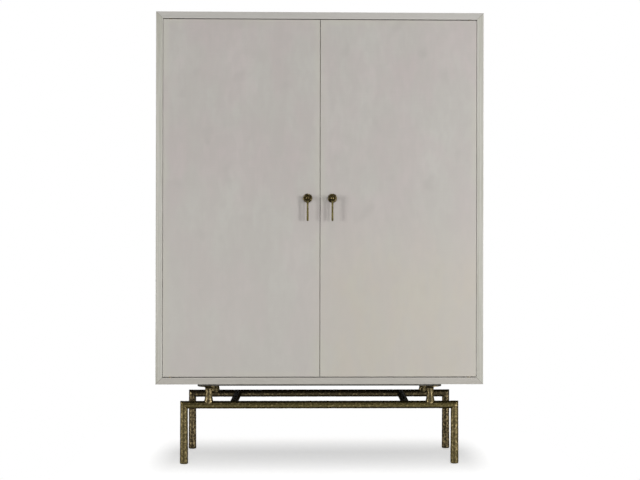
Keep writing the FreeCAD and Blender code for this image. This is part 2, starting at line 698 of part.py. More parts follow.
def drop_pull(side):
    name = f"{SIDE_NAMES[side]}_pull"
    x = f"{side} * pull_x"

    rosette = new_body(f"{name}_rosette", x, "door_front", "case_middle")
    bore = "tenon_diameter / 2 + screw_clearance"
    dished = [
        ("0", bore),
        ("0", "rosette_diameter / 2"),
        ("-rosette_rim", "rosette_diameter / 2", "rosette_dome", 1),
        ("-rosette_crown", "knuckle_radius + rosette_land"),
        ("-rosette_crown", bore),
    ]
    revolve(rosette, outline(rosette, "YZ_Plane", dished), "Y_Axis")
    node(rosette)

    post = new_body(f"{name}_post", x, "door_front", "case_middle")
    turned = [
        ("0", "0"),
        ("0", "tenon_diameter / 2"),
        ("-rosette_crown", "tenon_diameter / 2"),
        ("-rosette_crown", "knuckle_radius"),
        ("-pivot_standoff", "knuckle_radius", "knuckle_radius", 1),
        ("-pivot_standoff - knuckle_radius", "0"),
    ]
    revolve(post, outline(post, "YZ_Plane", turned), "Y_Axis")
    pocket(post, circles(post, "XZ_Plane", [("0", "0")], "bolt_hole"), "bolt_engagement + pilot_spare",
           flip=True)
    fork = rectangle("-fork_half", "-pivot_standoff - knuckle_diameter",
                     "fork_half", "tongue_width / 2 + slot_relief - pivot_standoff")
    pocket(post, outline(post, "XY_Plane", fork), "2 * knuckle_diameter", both_ways=True)
    ears = circles(post, "YZ_Plane", [("-pivot_standoff", "0")], "drop_pin_diameter + 2 * screw_clearance")
    pocket(post, ears, "2 * knuckle_diameter", both_ways=True)
    node(post)

    pin_length = "knuckle_diameter - 2 * screw_clearance - drop_pin_diameter / 4"
    node(cylinder(f"{name}_pin", "drop_pin_diameter", pin_length, f"{x} - ({pin_length}) / 2",
                  "pull_pivot_y", "case_middle"))

    bolt = new_body(f"{name}_bolt", x, "door_back", "case_middle")
    shank = "-door_thickness - bolt_engagement"
    screw = [
        (shank, "0"),
        ("bolt_head_height", "0"),
        ("bolt_head_height", "bolt_head_diameter / 2"),
        ("0", "bolt_head_diameter / 2"),
        ("0", "bolt_diameter / 2"),
        (shank, "bolt_diameter / 2"),
    ]
    revolve(bolt, outline(bolt, "YZ_Plane", screw), "Y_Axis")
    node(bolt)

    drop = new_body(f"{name}_drop", x, "pull_pivot_y", "case_middle")
    tip = "rod_end_diameter / 2"
    rod = [
        ("0", "-drop_length", tip, 1),
        (tip, f"{tip} - drop_length"),
        ("rod_diameter / 2", "-drop_shoulder - collar_length", "collar_hollow", -1),
        ("collar_diameter / 2", "-drop_shoulder"),
        ("0", "-drop_shoulder"),
    ]
    revolve(drop, outline(drop, "XZ_Plane", rod), "Z_Axis")
    half = "tongue_width / 2"
    tongue = [
        (f"-{half}", "-drop_shoulder - drop_lap"),
        (half, "-drop_shoulder - drop_lap"),
        (half, "0", half, 1),
        ("0", half, half, 1),
        (f"-{half}", "0"),
    ]
    pad(drop, outline(drop, "YZ_Plane", tongue), "tongue_thickness", both_ways=True)
    pivot = circles(drop, "YZ_Plane", [("0", "0")], "drop_pin_diameter + 2 * running_clearance")
    pocket(drop, pivot, "2 * tongue_thickness", both_ways=True)
    node(drop)


def leaf_screw_places(side, y, z):
    return [(x, y, z) for x, _ in leaf_screw_spots(f"{side} * pivot_x", y, -side)]


for side in (LEFT, RIGHT):
    door_slab(side)
    for level in ("top", "bottom"):
        hinge_leaf_parts(side, level)
    screws(f"{SIDE_NAMES[side]}_door_hinge_screws", "screw_diameter", [
        ("screw_head", "screw_length", leaf_screw_places(side, "pivot_y", "door_top"), DOWN),
        ("screw_head", "screw_length", leaf_screw_places(side, "pivot_y", "door_bottom"), UP),
    ])
    strike_buttons(side)
    drop_pull(side)

# Magnetic catches behind the middle of the doors, and the screws of the hardware on the case
catches = []
for level, face, turn in (("top", "inside_top", Rotation()), ("bottom", "inside_floor", HALF_TURN_Y)):
    catch = new_body(f"{level}_catch", "0", "catch_front", face, turn)
    block = rectangle("-catch_half", "0", "catch_half", "catch_depth")
    pad(catch, outline(catch, "XY_Plane", block, "-catch_height"), "catch_height")
    spots = [(f"{side} * catch_screw_spacing / 2", "catch_depth / 2") for side in (LEFT, RIGHT)]
    countersink(catch, circles(catch, "XY_Plane", spots, DRILLED, "-catch_height"),
                "screw_diameter", "screw_head", flip=True)
    catches.append(catch)
group("door_catches", catches)


def catch_screw_places(z):
    y = "catch_front + catch_depth / 2"
    return [(f"{side} * catch_screw_spacing / 2", y, z) for side in (LEFT, RIGHT)]


screw_sets = [
    ("screw_head", "catch_screw_length", catch_screw_places("inside_top - catch_height"), UP),
    ("screw_head", "catch_screw_length", catch_screw_places("inside_floor + catch_height"), DOWN),
]
for side in (LEFT, RIGHT):
    screw_sets += [
        ("screw_head", "screw_length", leaf_screw_places(side, "pivot_y", "inside_top"), UP),
        ("screw_head", "screw_length", leaf_screw_places(side, "pivot_y", "inside_floor"), DOWN),
    ]
screws("case_hardware_screws", "screw_diameter", screw_sets)

# Inside: a fixed serving shelf over a partition, and an adjustable shelf above and below
serving_shelf = new_body("serving_shelf", "0", "shelf_front", "serving_underside")
board = rectangle("-half_inside - dado_depth + glue_gap", "0",
                  "half_inside + dado_depth - glue_gap", "shelf_depth")
pad(serving_shelf, outline(serving_shelf, "XY_Plane", board), "shelf_thickness")
groove = rectangle("-partition_thickness / 2 - glue_gap", "0",
                   "partition_thickness / 2 + glue_gap", "shelf_depth")
pocket(serving_shelf, outline(serving_shelf, "XY_Plane", groove), "dado_depth", flip=True)
node(serving_shelf)

partition_foot = "inside_floor - dado_depth + glue_gap"
partition = new_body("lower_partition", "0", "shelf_front", partition_foot)
board = rectangle("-partition_thickness / 2", "0", "partition_thickness / 2", "shelf_depth")
partition_head = "serving_underside + dado_depth - glue_gap"
pad(partition, outline(partition, "XY_Plane", board), f"{partition_head} - ({partition_foot})")
lowest_hole = f"lower_pin_z - pin_span / 2 - ({partition_foot})"
columns = [("pin_setback", lowest_hole), ("shelf_depth - pin_setback", lowest_hole)]
first_holes = pocket(partition, circles(partition, "YZ_Plane", columns, "pin_diameter + 2 * screw_clearance",
                                        "partition_thickness / 2"), "pin_hole_depth")
repeat_along(partition, first_holes, "Z_Axis", "pin_span", "pin_rows")
node(partition)

node(box("upper_shelf", "2 * (half_inside - shelf_clearance)",
         "shelf_depth - shelf_clearance", "shelf_thickness",
         "shelf_clearance - half_inside", "shelf_front", "upper_shelf_bottom"))
node(box("lower_shelf", "half_inside - partition_thickness / 2 - 2 * shelf_clearance",
         "shelf_depth - shelf_clearance", "shelf_thickness",
         "partition_thickness / 2 + shelf_clearance", "shelf_front", "lower_shelf_bottom"))

pins = []
pin_starts = [
    ("-half_inside - pin_hole_depth", "upper_pin_z"),
    ("half_inside - pin_reach", "upper_pin_z"),
    ("partition_thickness / 2 - pin_hole_depth", "lower_pin_z"),
    ("half_inside - pin_reach", "lower_pin_z"),
]
for x, z in pin_starts:
    for y in ("shelf_front + pin_setback", "shelf_back - pin_setback"):
        pins.append(cylinder("shelf_pin", "pin_diameter", "pin_hole_depth + pin_reach", x, y, z))
group("shelf_pins", pins)

# Stemware rails: a T section of two strips each, under the upper shelf
spacers, runners = [], []
for index in range(int(value("runner_count"))):
    middle = f"({index} - (runner_count - 1) / 2) * runner_pitch"
    length = "shelf_depth - shelf_clearance - 2 * runner_setback"
    start = "shelf_front + runner_setback"
    spacers.append(box("stemware_spacer", "spacer_width", length, "spacer_height",
                       f"{middle} - spacer_width / 2", start, "upper_shelf_bottom - spacer_height"))
    runners.append(box("stemware_runner", "runner_width", length, "runner_thickness",
                       f"{middle} - runner_width / 2", start,
                       "upper_shelf_bottom - spacer_height - runner_thickness"))
group("stemware_spacers", spacers)
group("stemware_runners", runners)


# Bottle rack: two boards crossed from corner to corner of the lower left bay, half lapped in the middle

def rack_board(label, lean):
    """A board that rises to the right when lean is 1, and falls when it is -1."""
    board = new_body(label, "glue_gap - half_inside", "shelf_front", "inside_floor + glue_gap")
    rising = [
        ("0", "0"),
        ("rack_foot", "0"),
        ("rack_width", "rack_rise - rack_heel"),
        ("rack_width", "rack_rise"),
        ("rack_width - rack_foot", "rack_rise"),
        ("0", "rack_heel"),
    ]
    points = rising if lean == 1 else [(f"rack_width - ({x})", z) for x, z in rising]
    pad(board, outline(board, "XZ_Plane", points), "shelf_depth", flip=True)
    lap = []
    for along, across in ((1, 1), (-1, 1), (-1, -1), (1, -1)):
        length = f"{along} * 3 * rack_thickness"
        width = f"{across} * (rack_thickness / 2 + glue_gap)"
        x = f"rack_width / 2 + ({length} * rack_width + {lean} * {width} * rack_rise) / rack_diagonal"
        z = f"rack_rise / 2 + ({width} * rack_width - {lean} * {length} * rack_rise) / rack_diagonal"
        lap.append((x, z))
    start = "0" if lean == 1 else "glue_gap - shelf_depth / 2"
    pocket(board, outline(board, "XZ_Plane", lap, start), "shelf_depth / 2 + glue_gap")
    node(board)


rack_board("bottle_rack_rising_board", 1)
rack_board("bottle_rack_falling_board", -1)

# Stand: two goalpost frames of round bar, joined by stretchers, with posts and flange discs under a board

MITRE_SPARE = "2 * rail_radius"


def mitre_corner(side, x, z, keeps_below):
    """The half of a mitred corner to cut away, about the point where the two axes meet."""
    low = (f"{x} - {side} * {MITRE_SPARE}", f"{z} - {MITRE_SPARE}")
    high = (f"{x} + {side} * {MITRE_SPARE}", f"{z} + {MITRE_SPARE}")
    waste = (low[0], high[1]) if keeps_below else (high[0], low[1])
    return [low, high, waste]


def stand_rail(label, y):
    rail = new_body(label, "0", y, "rail_height")
    bar = circles(rail, "YZ_Plane", [("0", "0")], "rail_diameter")
    pad(rail, bar, "leg_spacing + rail_diameter", both_ways=True)
    for side in (LEFT, RIGHT):
        waste = outline(rail, "XZ_Plane", mitre_corner(side, f"{side} * leg_spacing / 2", "0", False))
        pocket(rail, waste, "2 * rail_diameter", both_ways=True)
    node(rail)


def stand_leg(label, side, y):
    leg = new_body(label, f"{side} * leg_spacing / 2", y, "0")
    foot = "leg_foot_diameter / 2"
    profile = [
        ("0", "0"),
        (f"{foot} - foot_round", "0", "foot_round", 1),
        (foot, "foot_round"),
        ("rail_radius", "leg_taper_height"),
        ("rail_radius", "rail_height + rail_radius"),
        ("0", "rail_height + rail_radius"),
    ]
    revolve(leg, outline(leg, "XZ_Plane", profile), "Z_Axis")
    pocket(leg, outline(leg, "XZ_Plane", mitre_corner(side, "0", "rail_height", True)),
           "2 * rail_diameter", both_ways=True)
    node(leg)


def stand_post(label, side, y):
    """A post saddled on its rail, with a flared foot below and a weld fillet above."""
    post = new_body(label, f"{side} * post_spacing / 2", y, "rail_height")
    radius = "post_diameter / 2"
    profile = [
        ("0", "0"),
        (f"{radius} + post_flare", "0"),
        (f"{radius} + post_flare", "rail_radius / 2", "flare_radius", -1),
        (radius, "rail_radius + flare_height"),
        (radius, "post_height - weld_size", "weld_size", -1),
        (f"{radius} + weld_size", "post_height"),
        ("0", "post_height"),
    ]
    revolve(post, outline(post, "XZ_Plane", profile), "Z_Axis")
    saddle = circles(post, "YZ_Plane", [("0", "0")], "rail_diameter + 2 * weld_gap")
    pocket(post, saddle, "2 * post_diameter", both_ways=True)
    node(post)


def flange_disc(label, side, y):
    disc = new_body(label, f"{side} * post_spacing / 2", y, "disc_underside")
    pad(disc, circles(disc, "XY_Plane", [("0", "0")], "disc_diameter"), "disc_thickness")
    first = [("disc_screw_circle / 2 * cos(45)", "disc_screw_circle / 2 * sin(45)")]
    hole = countersink(disc, circles(disc, "XY_Plane", first, "stand_screw_diameter"), "stand_screw_diameter",
                       "stand_screw_head", flip=True)
    ring = disc.newObject("PartDesign::PolarPattern", "ring")
    ring.Originals = [hole]
    ring.Axis = (origin_feature(disc, "Z_Axis"), [""])
    ring.Angle = 360
    bind(ring, {"Occurrences": "disc_screws"})
    disc.Tip = ring
    doc.recompute()
    node(disc)


for row, y in (("front", "front_rail_y"), ("rear", "rear_rail_y")):
    stand_rail(f"{row}_rail", y)
    for side in (LEFT, RIGHT):
        stand_leg(f"{row}_{SIDE_NAMES[side]}_leg", side, y)
        stand_post(f"{row}_{SIDE_NAMES[side]}_post", side, y)
        flange_disc(f"{row}_{SIDE_NAMES[side]}_flange_disc", side, y)

for side in (LEFT, RIGHT):
    stretcher = new_body(f"{SIDE_NAMES[side]}_stretcher", f"{side} * stretcher_spacing / 2",
                         "(front_rail_y + rear_rail_y) / 2", "rail_height")
    pad(stretcher, circles(stretcher, "XZ_Plane", [("0", "0")], "stretcher_diameter"),
        "rear_rail_y - front_rail_y", both_ways=True)
    for end in (-1, 1):
        cope = circles(stretcher, "YZ_Plane", [(f"{end} * (rear_rail_y - front_rail_y) / 2", "0")],
                       "rail_diameter + 2 * weld_gap")
        pocket(stretcher, cope, "2 * stretcher_diameter", both_ways=True)
    node(stretcher)

mounting_board = new_body("mounting_board", "0", "0", "board_underside")
board_margin = "(disc_diameter / 2 - board_inset)"
board = rectangle(f"-post_spacing / 2 - {board_margin}", f"front_rail_y - {board_margin}",
                  f"post_spacing / 2 + {board_margin}", f"rear_rail_y + {board_margin}")
pad(mounting_board, outline(mounting_board, "XY_Plane", board), "board_thickness")
pocket(mounting_board, circles(mounting_board, "XY_Plane", stand_screw_spots(), STAND_DRILLED),
       "board_thickness", flip=True)
node(mounting_board)
stand_screw_places = [(x, y, "disc_underside") for x, y in stand_screw_spots()]
screws("stand_screws", "stand_screw_diameter",
       [("stand_screw_head", "stand_screw_length", stand_screw_places, UP)])

# Every object has to have come out sound before anything is written
doc.recompute()
for thing in doc.Objects:
    if "Invalid" in thing.State or "Error" in thing.State:
        raise RuntimeError(f"{thing.Label} failed: {thing.State}")
for name, thing in nodes.items():
    if thing.Shape.isNull() or not thing.Shape.isValid() or not thing.Shape.Solids:
        raise RuntimeError(f"{name} has no sound shape")

os.makedirs("parts", exist_ok=True)
for name, thing in nodes.items():
    thing.Shape.exportStep(f"parts/{name}.step")
print(len(nodes), "sub-parts,", sum(len(thing.Shape.Solids) for thing in nodes.values()), "solids")
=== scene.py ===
# A two-door bar armoire: a whitewashed mitred case on a stand of hammered bronze bar.
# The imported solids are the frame, in metres. Each section below dresses or rebuilds one group of pieces.
import math

import bmesh
import bpy
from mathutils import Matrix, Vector


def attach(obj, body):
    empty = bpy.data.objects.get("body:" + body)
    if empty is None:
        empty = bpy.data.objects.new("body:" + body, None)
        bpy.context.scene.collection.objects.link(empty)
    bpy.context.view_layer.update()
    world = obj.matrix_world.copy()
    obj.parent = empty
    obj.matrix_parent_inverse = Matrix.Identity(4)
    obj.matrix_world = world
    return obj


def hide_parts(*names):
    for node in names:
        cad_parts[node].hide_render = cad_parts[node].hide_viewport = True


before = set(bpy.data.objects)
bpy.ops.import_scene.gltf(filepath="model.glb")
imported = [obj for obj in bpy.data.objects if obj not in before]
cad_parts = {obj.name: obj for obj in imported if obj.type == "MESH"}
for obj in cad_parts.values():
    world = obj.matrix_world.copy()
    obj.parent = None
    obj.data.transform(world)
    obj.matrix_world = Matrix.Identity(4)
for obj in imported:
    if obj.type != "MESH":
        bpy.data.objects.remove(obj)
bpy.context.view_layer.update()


# Rails and legs of the stand
# Two goalpost frames of round bronze bar, hammered, browned and rubbed back. The front rail is painted
# lighter as light, and the rear frame darker and less rubbed as painted shade.
# Rails and legs meet in welded mitres, and the legs thicken a little towards their rounded feet.

RAIL_HEIGHT = 0.223
RAIL_RADIUS = 0.014
FOOT_RADIUS = 0.0155
TAPER_HEIGHT = 0.190
FOOT_ROUND = 0.004
FOOT_ROUND_ROWS = 6
LEG_SPACING = 1.026
RAIL_PLACES = {"front": -0.151271, "rear": 0.176729}
SIDES = {"left": -1, "right": 1}
BAR_MESH = 0.0014
DENT_PITCH = 0.0085
DENT_DEPTH = 0.00054
DENT_EDGE = 0.6
DENT_SCATTER = 0.9
RIDGE_RISE = 0.0006


def new_tree(name, kind, inputs, outputs):
    """A node tree with these sockets, and its input and output sockets by name."""
    tree = bpy.data.node_groups.new(name, kind)
    for direction, sockets in (("INPUT", inputs), ("OUTPUT", outputs)):
        for label, socket in sockets.items():
            tree.interface.new_socket(name=label, in_out=direction, socket_type="NodeSocket" + socket)
    given = tree.nodes.new("NodeGroupInput").outputs
    result = tree.nodes.new("NodeGroupOutput").inputs
    return tree, given, result


def feed(tree, socket, value):
    """Links a socket to another one, or sets its value."""
    if isinstance(value, bpy.types.NodeSocket):
        tree.links.new(value, socket)
    else:
        socket.default_value = value


def add(tree, kind, inputs=None, **settings):
    """Adds a node with these settings and inputs."""
    made = tree.nodes.new(kind)
    for name, setting in settings.items():
        setattr(made, name, setting)
    for name, value in (inputs or {}).items():
        feed(tree, made.inputs[name], value)
    return made


def maths(tree, operation, *values, clamp=False):
    made = add(tree, "ShaderNodeMath", dict(enumerate(values)), operation=operation, use_clamp=clamp)
    return made.outputs[0]


def vectors(tree, operation, *values):
    return add(tree, "ShaderNodeVectorMath", dict(enumerate(values)), operation=operation).outputs[0]


def spread(tree, value, low, high, to_low=0.0, to_high=1.0):
    """Stretches the range low to high smoothly onto another range."""
    ranges = {"Value": value, "From Min": low, "From Max": high, "To Min": to_low, "To Max": to_high}
    return add(tree, "ShaderNodeMapRange", ranges, interpolation_type="SMOOTHSTEP").outputs["Result"]


def hammer_rule():
    """Sinks a dish under each hammer blow, with ridges left standing between the blows."""
    tree, given, result = new_tree("hammer blows", "GeometryNodeTree", {
        "Geometry": "Geometry", "Dent Pitch": "Float", "Dent Depth": "Float",
    }, {"Geometry": "Geometry"})
    spot = add(tree, "GeometryNodeInputPosition").outputs[0]
    outward = add(tree, "GeometryNodeInputNormal").outputs[0]
    blows = add(tree, "ShaderNodeTexVoronoi", {
        "Vector": spot,
        "Scale": maths(tree, "DIVIDE", 1.0, given["Dent Pitch"]),
        "Randomness": DENT_SCATTER,
    })
    away = maths(tree, "DIVIDE", blows.outputs["Distance"], DENT_EDGE)
    dish = maths(tree, "SUBTRACT", 1.0, maths(tree, "MULTIPLY", away, away), clamp=True)
    sink = maths(tree, "MULTIPLY", dish, maths(tree, "MULTIPLY", given["Dent Depth"], -1.0))
    move = vectors(tree, "SCALE", outward)
    feed(tree, move.node.inputs["Scale"], sink)
    dented = add(tree, "GeometryNodeSetPosition", {"Geometry": given["Geometry"], "Offset": move})
    feed(tree, result["Geometry"], dented.outputs[0])
    return tree


def bar_rule(hammer):
    """A round bar, with its ends mitred, coped, flared or rounded, and then hammered."""
    tree, given, result = new_tree("hammered bar", "GeometryNodeTree", {
        "Length": "Float", "Radius": "Float", "Foot Radius": "Float", "Taper Height": "Float",
        "Foot Round": "Float", "Round Rows": "Int", "Rows": "Int", "Sides": "Int",
        "Foot Mitre": "Float", "Top Mitre": "Float", "Foot Cope": "Float", "Top Cope": "Float",
        "Foot Flare": "Float", "Flare Height": "Float", "Weld": "Float",
        "Turn": "Vector", "Place": "Vector", "Dent Pitch": "Float", "Dent Depth": "Float",
        "Material": "Material",
    }, {"Geometry": "Geometry"})
    rod = add(tree, "GeometryNodeMeshCylinder", {
        "Vertices": given["Sides"], "Side Segments": given["Rows"], "Radius": 1.0, "Depth": 1.0,
    }, fill_type="TRIANGLE_FAN")
    start = add(tree, "ShaderNodeSeparateXYZ", {0: add(tree, "GeometryNodeInputPosition").outputs[0]})

    # Height of each row of points, with close rows round the foot's edge
    row = maths(tree, "MULTIPLY", maths(tree, "ADD", start.outputs["Z"], 0.5), given["Rows"])
    turn = maths(tree, "DIVIDE", row, given["Round Rows"], clamp=True)
    turn = maths(tree, "MULTIPLY", turn, math.pi / 2)
    edge_rise = maths(tree, "SUBTRACT", 1.0, maths(tree, "COSINE", turn))
    edge_rise = maths(tree, "MULTIPLY", edge_rise, given["Foot Round"])
    edge_inset = maths(tree, "SUBTRACT", 1.0, maths(tree, "SINE", turn))
    edge_inset = maths(tree, "MULTIPLY", edge_inset, given["Foot Round"])
    straight_rows = maths(tree, "SUBTRACT", given["Rows"], given["Round Rows"])
    above = maths(tree, "MAXIMUM", maths(tree, "SUBTRACT", row, given["Round Rows"]), 0.0)
    share = maths(tree, "DIVIDE", above, straight_rows)
    straight_length = maths(tree, "SUBTRACT", given["Length"], given["Foot Round"])
    height = maths(tree, "MULTIPLY_ADD", share, straight_length, edge_rise)

    def fade(distance, reach):
        return maths(tree, "SUBTRACT", 1.0, maths(tree, "DIVIDE", distance, reach), clamp=True)

    # Radius at that height: taper, weld bead, and a foot that flares to both sides along the rail
    taper = fade(height, given["Taper Height"])
    swell = maths(tree, "SUBTRACT", given["Foot Radius"], given["Radius"])
    radius = maths(tree, "MULTIPLY_ADD", taper, swell, given["Radius"])
    flare = fade(height, given["Flare Height"])
    widening = maths(tree, "MULTIPLY", maths(tree, "MULTIPLY", flare, flare), given["Foot Flare"])
    bead = fade(maths(tree, "SUBTRACT", given["Length"], height), given["Weld"])
    radius = maths(tree, "MULTIPLY_ADD", maths(tree, "MULTIPLY", bead, bead), given["Weld"], radius)
    radius = maths(tree, "SUBTRACT", radius, edge_inset)
    across = maths(tree, "MULTIPLY", start.outputs["X"], maths(tree, "ADD", radius, widening))
    through = maths(tree, "MULTIPLY", start.outputs["Y"], radius)

    # Ends cut on a slope for a mitre, or hollowed to sit on another round bar
    def hollow(cope):
        depth = maths(tree, "SUBTRACT", maths(tree, "MULTIPLY", cope, cope),
                      maths(tree, "MULTIPLY", through, through))
        return maths(tree, "SQRT", maths(tree, "MAXIMUM", depth, 0.0))

    foot_cut = maths(tree, "MULTIPLY_ADD", across, given["Foot Mitre"], hollow(given["Foot Cope"]))
    top_cut = maths(tree, "SUBTRACT", maths(tree, "MULTIPLY", across, given["Top Mitre"]),
                    hollow(given["Top Cope"]))
    along = maths(tree, "DIVIDE", height, given["Length"])
    cut = maths(tree, "MULTIPLY_ADD", along, maths(tree, "SUBTRACT", top_cut, foot_cut), foot_cut)
    point = add(tree, "ShaderNodeCombineXYZ", {
        "X": across, "Y": through, "Z": maths(tree, "ADD", height, cut)})

    shaped = add(tree, "GeometryNodeSetPosition", {
        "Geometry": rod.outputs["Mesh"], "Position": point.outputs[0]})
    smooth = add(tree, "GeometryNodeSetShadeSmooth", {
        "Geometry": shaped.outputs[0], "Selection": rod.outputs["Side"], "Shade Smooth": True})
    placed = add(tree, "GeometryNodeTransform", {
        "Geometry": smooth.outputs[0], "Translation": given["Place"], "Rotation": given["Turn"]})
    dented = add(tree, "GeometryNodeGroup", {
        "Geometry": placed.outputs[0], "Dent Pitch": given["Dent Pitch"],
        "Dent Depth": given["Dent Depth"],
    }, node_tree=hammer)
    whole = add(tree, "GeometryNodeRealizeInstances", {"Geometry": dented.outputs[0]})
    finished = add(tree, "GeometryNodeSetMaterial", {
        "Geometry": whole.outputs[0], "Material": given["Material"]})
    feed(tree, result["Geometry"], finished.outputs[0])
    return tree


def grow(name, tree, sizes, base=None):
    """Runs a tree with these named inputs and keeps its result as a plain mesh object."""
    piece = bpy.data.objects.new(name, base or bpy.data.meshes.new(name))
    bpy.context.scene.collection.objects.link(piece)
    rule = piece.modifiers.new("rule", "NODES")
    rule.node_group = tree
    for socket in tree.interface.items_tree:
        if socket.in_out == "INPUT" and socket.name in sizes:
            rule[socket.identifier] = sizes[socket.name]
    settled = piece.evaluated_get(bpy.context.evaluated_depsgraph_get())
    mesh = bpy.data.meshes.new_from_object(settled)
    piece.modifiers.remove(rule)
    piece.data = mesh
    return piece


def paint(red, green, blue):
    """A colour as it is read off a screen, from 0 to 255, as the linear colour that a shader takes."""

    def linear(part):
        return ((part / 255 + 0.055) / 1.055) ** 2.4 if part > 10 else part / 255 / 12.92

    return (linear(red), linear(green), linear(blue), 1.0)


def new_finish(name, **values):
    """A material with one shader, and these plain values set on the shader's own sockets."""
    finish = bpy.data.materials.new(name)
    finish.use_nodes = True
    surface = finish.node_tree.nodes["Principled BSDF"]
    for socket, value in values.items():
        surface.inputs[socket.replace("_", " ")].default_value = value
    return finish, finish.node_tree, surface


def relief(tree, surface, height, distance):
    """Raises the surface by a height from 0 to 1 over this distance."""
    bump = add(tree, "ShaderNodeBump", {"Height": height, "Distance": distance, "Strength": 1.0})
    feed(tree, surface.inputs["Normal"], bump.outputs["Normal"])


def mix(tree, share, first, second):
    """The first colour with this share of the second."""
    blended = add(tree, "ShaderNodeMix", data_type="RGBA")
    for socket, value in zip((0, 6, 7), (share, first, second)):
        feed(tree, blended.inputs[socket], value)
    return blended.outputs[2]


def noise(tree, place, scale, detail, **settings):
    """A cloudy value from 0 to 1 over these places."""
    sizes = {"Vector": place, "Scale": scale, "Detail": detail, **settings}
    return add(tree, "ShaderNodeTexNoise", sizes).outputs["Fac"]


NOISE_MIDDLE = (0.3, 0.7)
UNDERSIDE = (-0.78, -0.22)
UNDERSIDE_PAINTED_SHADE = 0.4
RIDGE_BAND = (0.30, 0.72)
CREST_BAND = (0.62, 0.90)
CLOUD_SCALE = 60.0
CLOUD_RANGE = (0.36, 0.68)
CLOUD_RUBBING = (0.55, 1.0)
PIT_SCALE = 420.0
PIT_RANGE = (0.35, 0.65)
PIT_SHADE = (0.84, 1.12)
PATINA_ROUGHNESS = (0.36, 0.48)
RUBBED_SMOOTHING = -0.10
PITTING_RELIEF = 0.00008
DENT_RELIEF = 0.0004


def patina_group():
    """Brown patina left in the hammered hollows and rubbed off the ridges, unevenly. Undersides are rubbed
    less and darkened as painted shade.
    """
    tree, given, result = new_tree("rubbed patina", "ShaderNodeTree", {
        "Dent Pitch": "Float", "Hollow": "Color", "Ridge": "Color", "Rubbing": "Float",
    }, {"Colour": "Color", "Roughness": "Float", "Dent": "Float", "Pitting": "Float"})
    surface_spot = add(tree, "ShaderNodeTexCoord").outputs
    place = surface_spot["Object"]
    facing = add(tree, "ShaderNodeSeparateXYZ", {0: surface_spot["Normal"]})
    # 1 on top and at the sides, 0 underneath: less rubbing and painted shade underneath
    reached_and_lit = spread(tree, facing.outputs["Z"], *UNDERSIDE)
    blows = add(tree, "ShaderNodeTexVoronoi", {
        "Vector": place,
        "Scale": maths(tree, "DIVIDE", 1.0, given["Dent Pitch"]),
        "Randomness": DENT_SCATTER,
    })
    ridge = spread(tree, blows.outputs["Distance"], *RIDGE_BAND)
    cloud = noise(tree, place, CLOUD_SCALE, 2.0)
    pits = noise(tree, place, PIT_SCALE, 3.0, Roughness=0.6)
    uneven = spread(tree, cloud, *CLOUD_RANGE, *CLOUD_RUBBING)
    rubbing = maths(tree, "MULTIPLY", given["Rubbing"], reached_and_lit)
    rubbed = maths(tree, "MULTIPLY", maths(tree, "MULTIPLY", ridge, uneven), rubbing, clamp=True)
    colour = mix(tree, rubbed, given["Hollow"], given["Ridge"])
    crest = maths(tree, "MULTIPLY", spread(tree, blows.outputs["Distance"], *CREST_BAND), rubbed)
    colour = mix(tree, crest, colour, BRONZE_CREST)
    # Pits tarnish at random, and undersides are darkened further as painted shade
    tarnish_and_shade = spread(tree, pits, *PIT_RANGE, *PIT_SHADE)
    tarnish_and_shade = maths(tree, "MULTIPLY", tarnish_and_shade, spread(tree, reached_and_lit, 0.0, 1.0, UNDERSIDE_PAINTED_SHADE, 1.0))
    feed(tree, result["Colour"], vectors(tree, "MULTIPLY", colour, tarnish_and_shade))
    matt = spread(tree, pits, *NOISE_MIDDLE, *PATINA_ROUGHNESS)
    feed(tree, result["Roughness"], maths(tree, "MULTIPLY_ADD", rubbed, RUBBED_SMOOTHING, matt))
    feed(tree, result["Dent"], ridge)
    feed(tree, result["Pitting"], pits)
    return tree


def bronze(name, pitch, hollow, ridge, rubbing, dents_in_relief=False):
    """Hammered bronze. A piece with no dents in its mesh gets them as relief."""
    finish, tree, surface = new_finish(name, Metallic=1.0, Specular_Tint=BRONZE_GLANCE)
    aged = add(tree, "ShaderNodeGroup", {
        "Dent Pitch": pitch, "Hollow": hollow, "Ridge": ridge, "Rubbing": rubbing,
    }, node_tree=patina)
    feed(tree, surface.inputs["Base Color"], aged.outputs["Colour"])
    feed(tree, surface.inputs["Roughness"], aged.outputs["Roughness"])
    if dents_in_relief:
        relief(tree, surface, aged.outputs["Dent"], DENT_RELIEF)
    else:
        relief(tree, surface, aged.outputs["Pitting"], PITTING_RELIEF)
    return finish


def hold(piece, body, slot, *nodes):
    """The piece rides on a body and stands for these solids. The slot is not used."""
    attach(piece, body)
    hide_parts(*nodes)


BRONZE_HOLLOW = paint(77, 69, 45)
BRONZE_RIDGE = paint(102, 91, 62)
BRONZE_CREST = paint(144, 129, 94)
BRONZE_GLANCE = paint(26, 23, 16)
# Lighter copy of the stand bronze for the front rail: painted light
LIT_RAIL_HOLLOW = paint(86, 78, 48)
LIT_RAIL_RIDGE = paint(114, 103, 66)
# Darker, less rubbed copies for the rear rail and rear legs: painted shade under the case
SHADED_REAR_HOLLOW = paint(66, 58, 42)
SHADED_REAR_RIDGE = paint(94, 83, 61)
SHADED_REAR_LEG_HOLLOW = paint(52, 45, 31)
SHADED_REAR_LEG_RIDGE = paint(118, 105, 78)
WELL_RUBBED = 1.0
REAR_RUBBING_IN_SHADE = 0.8

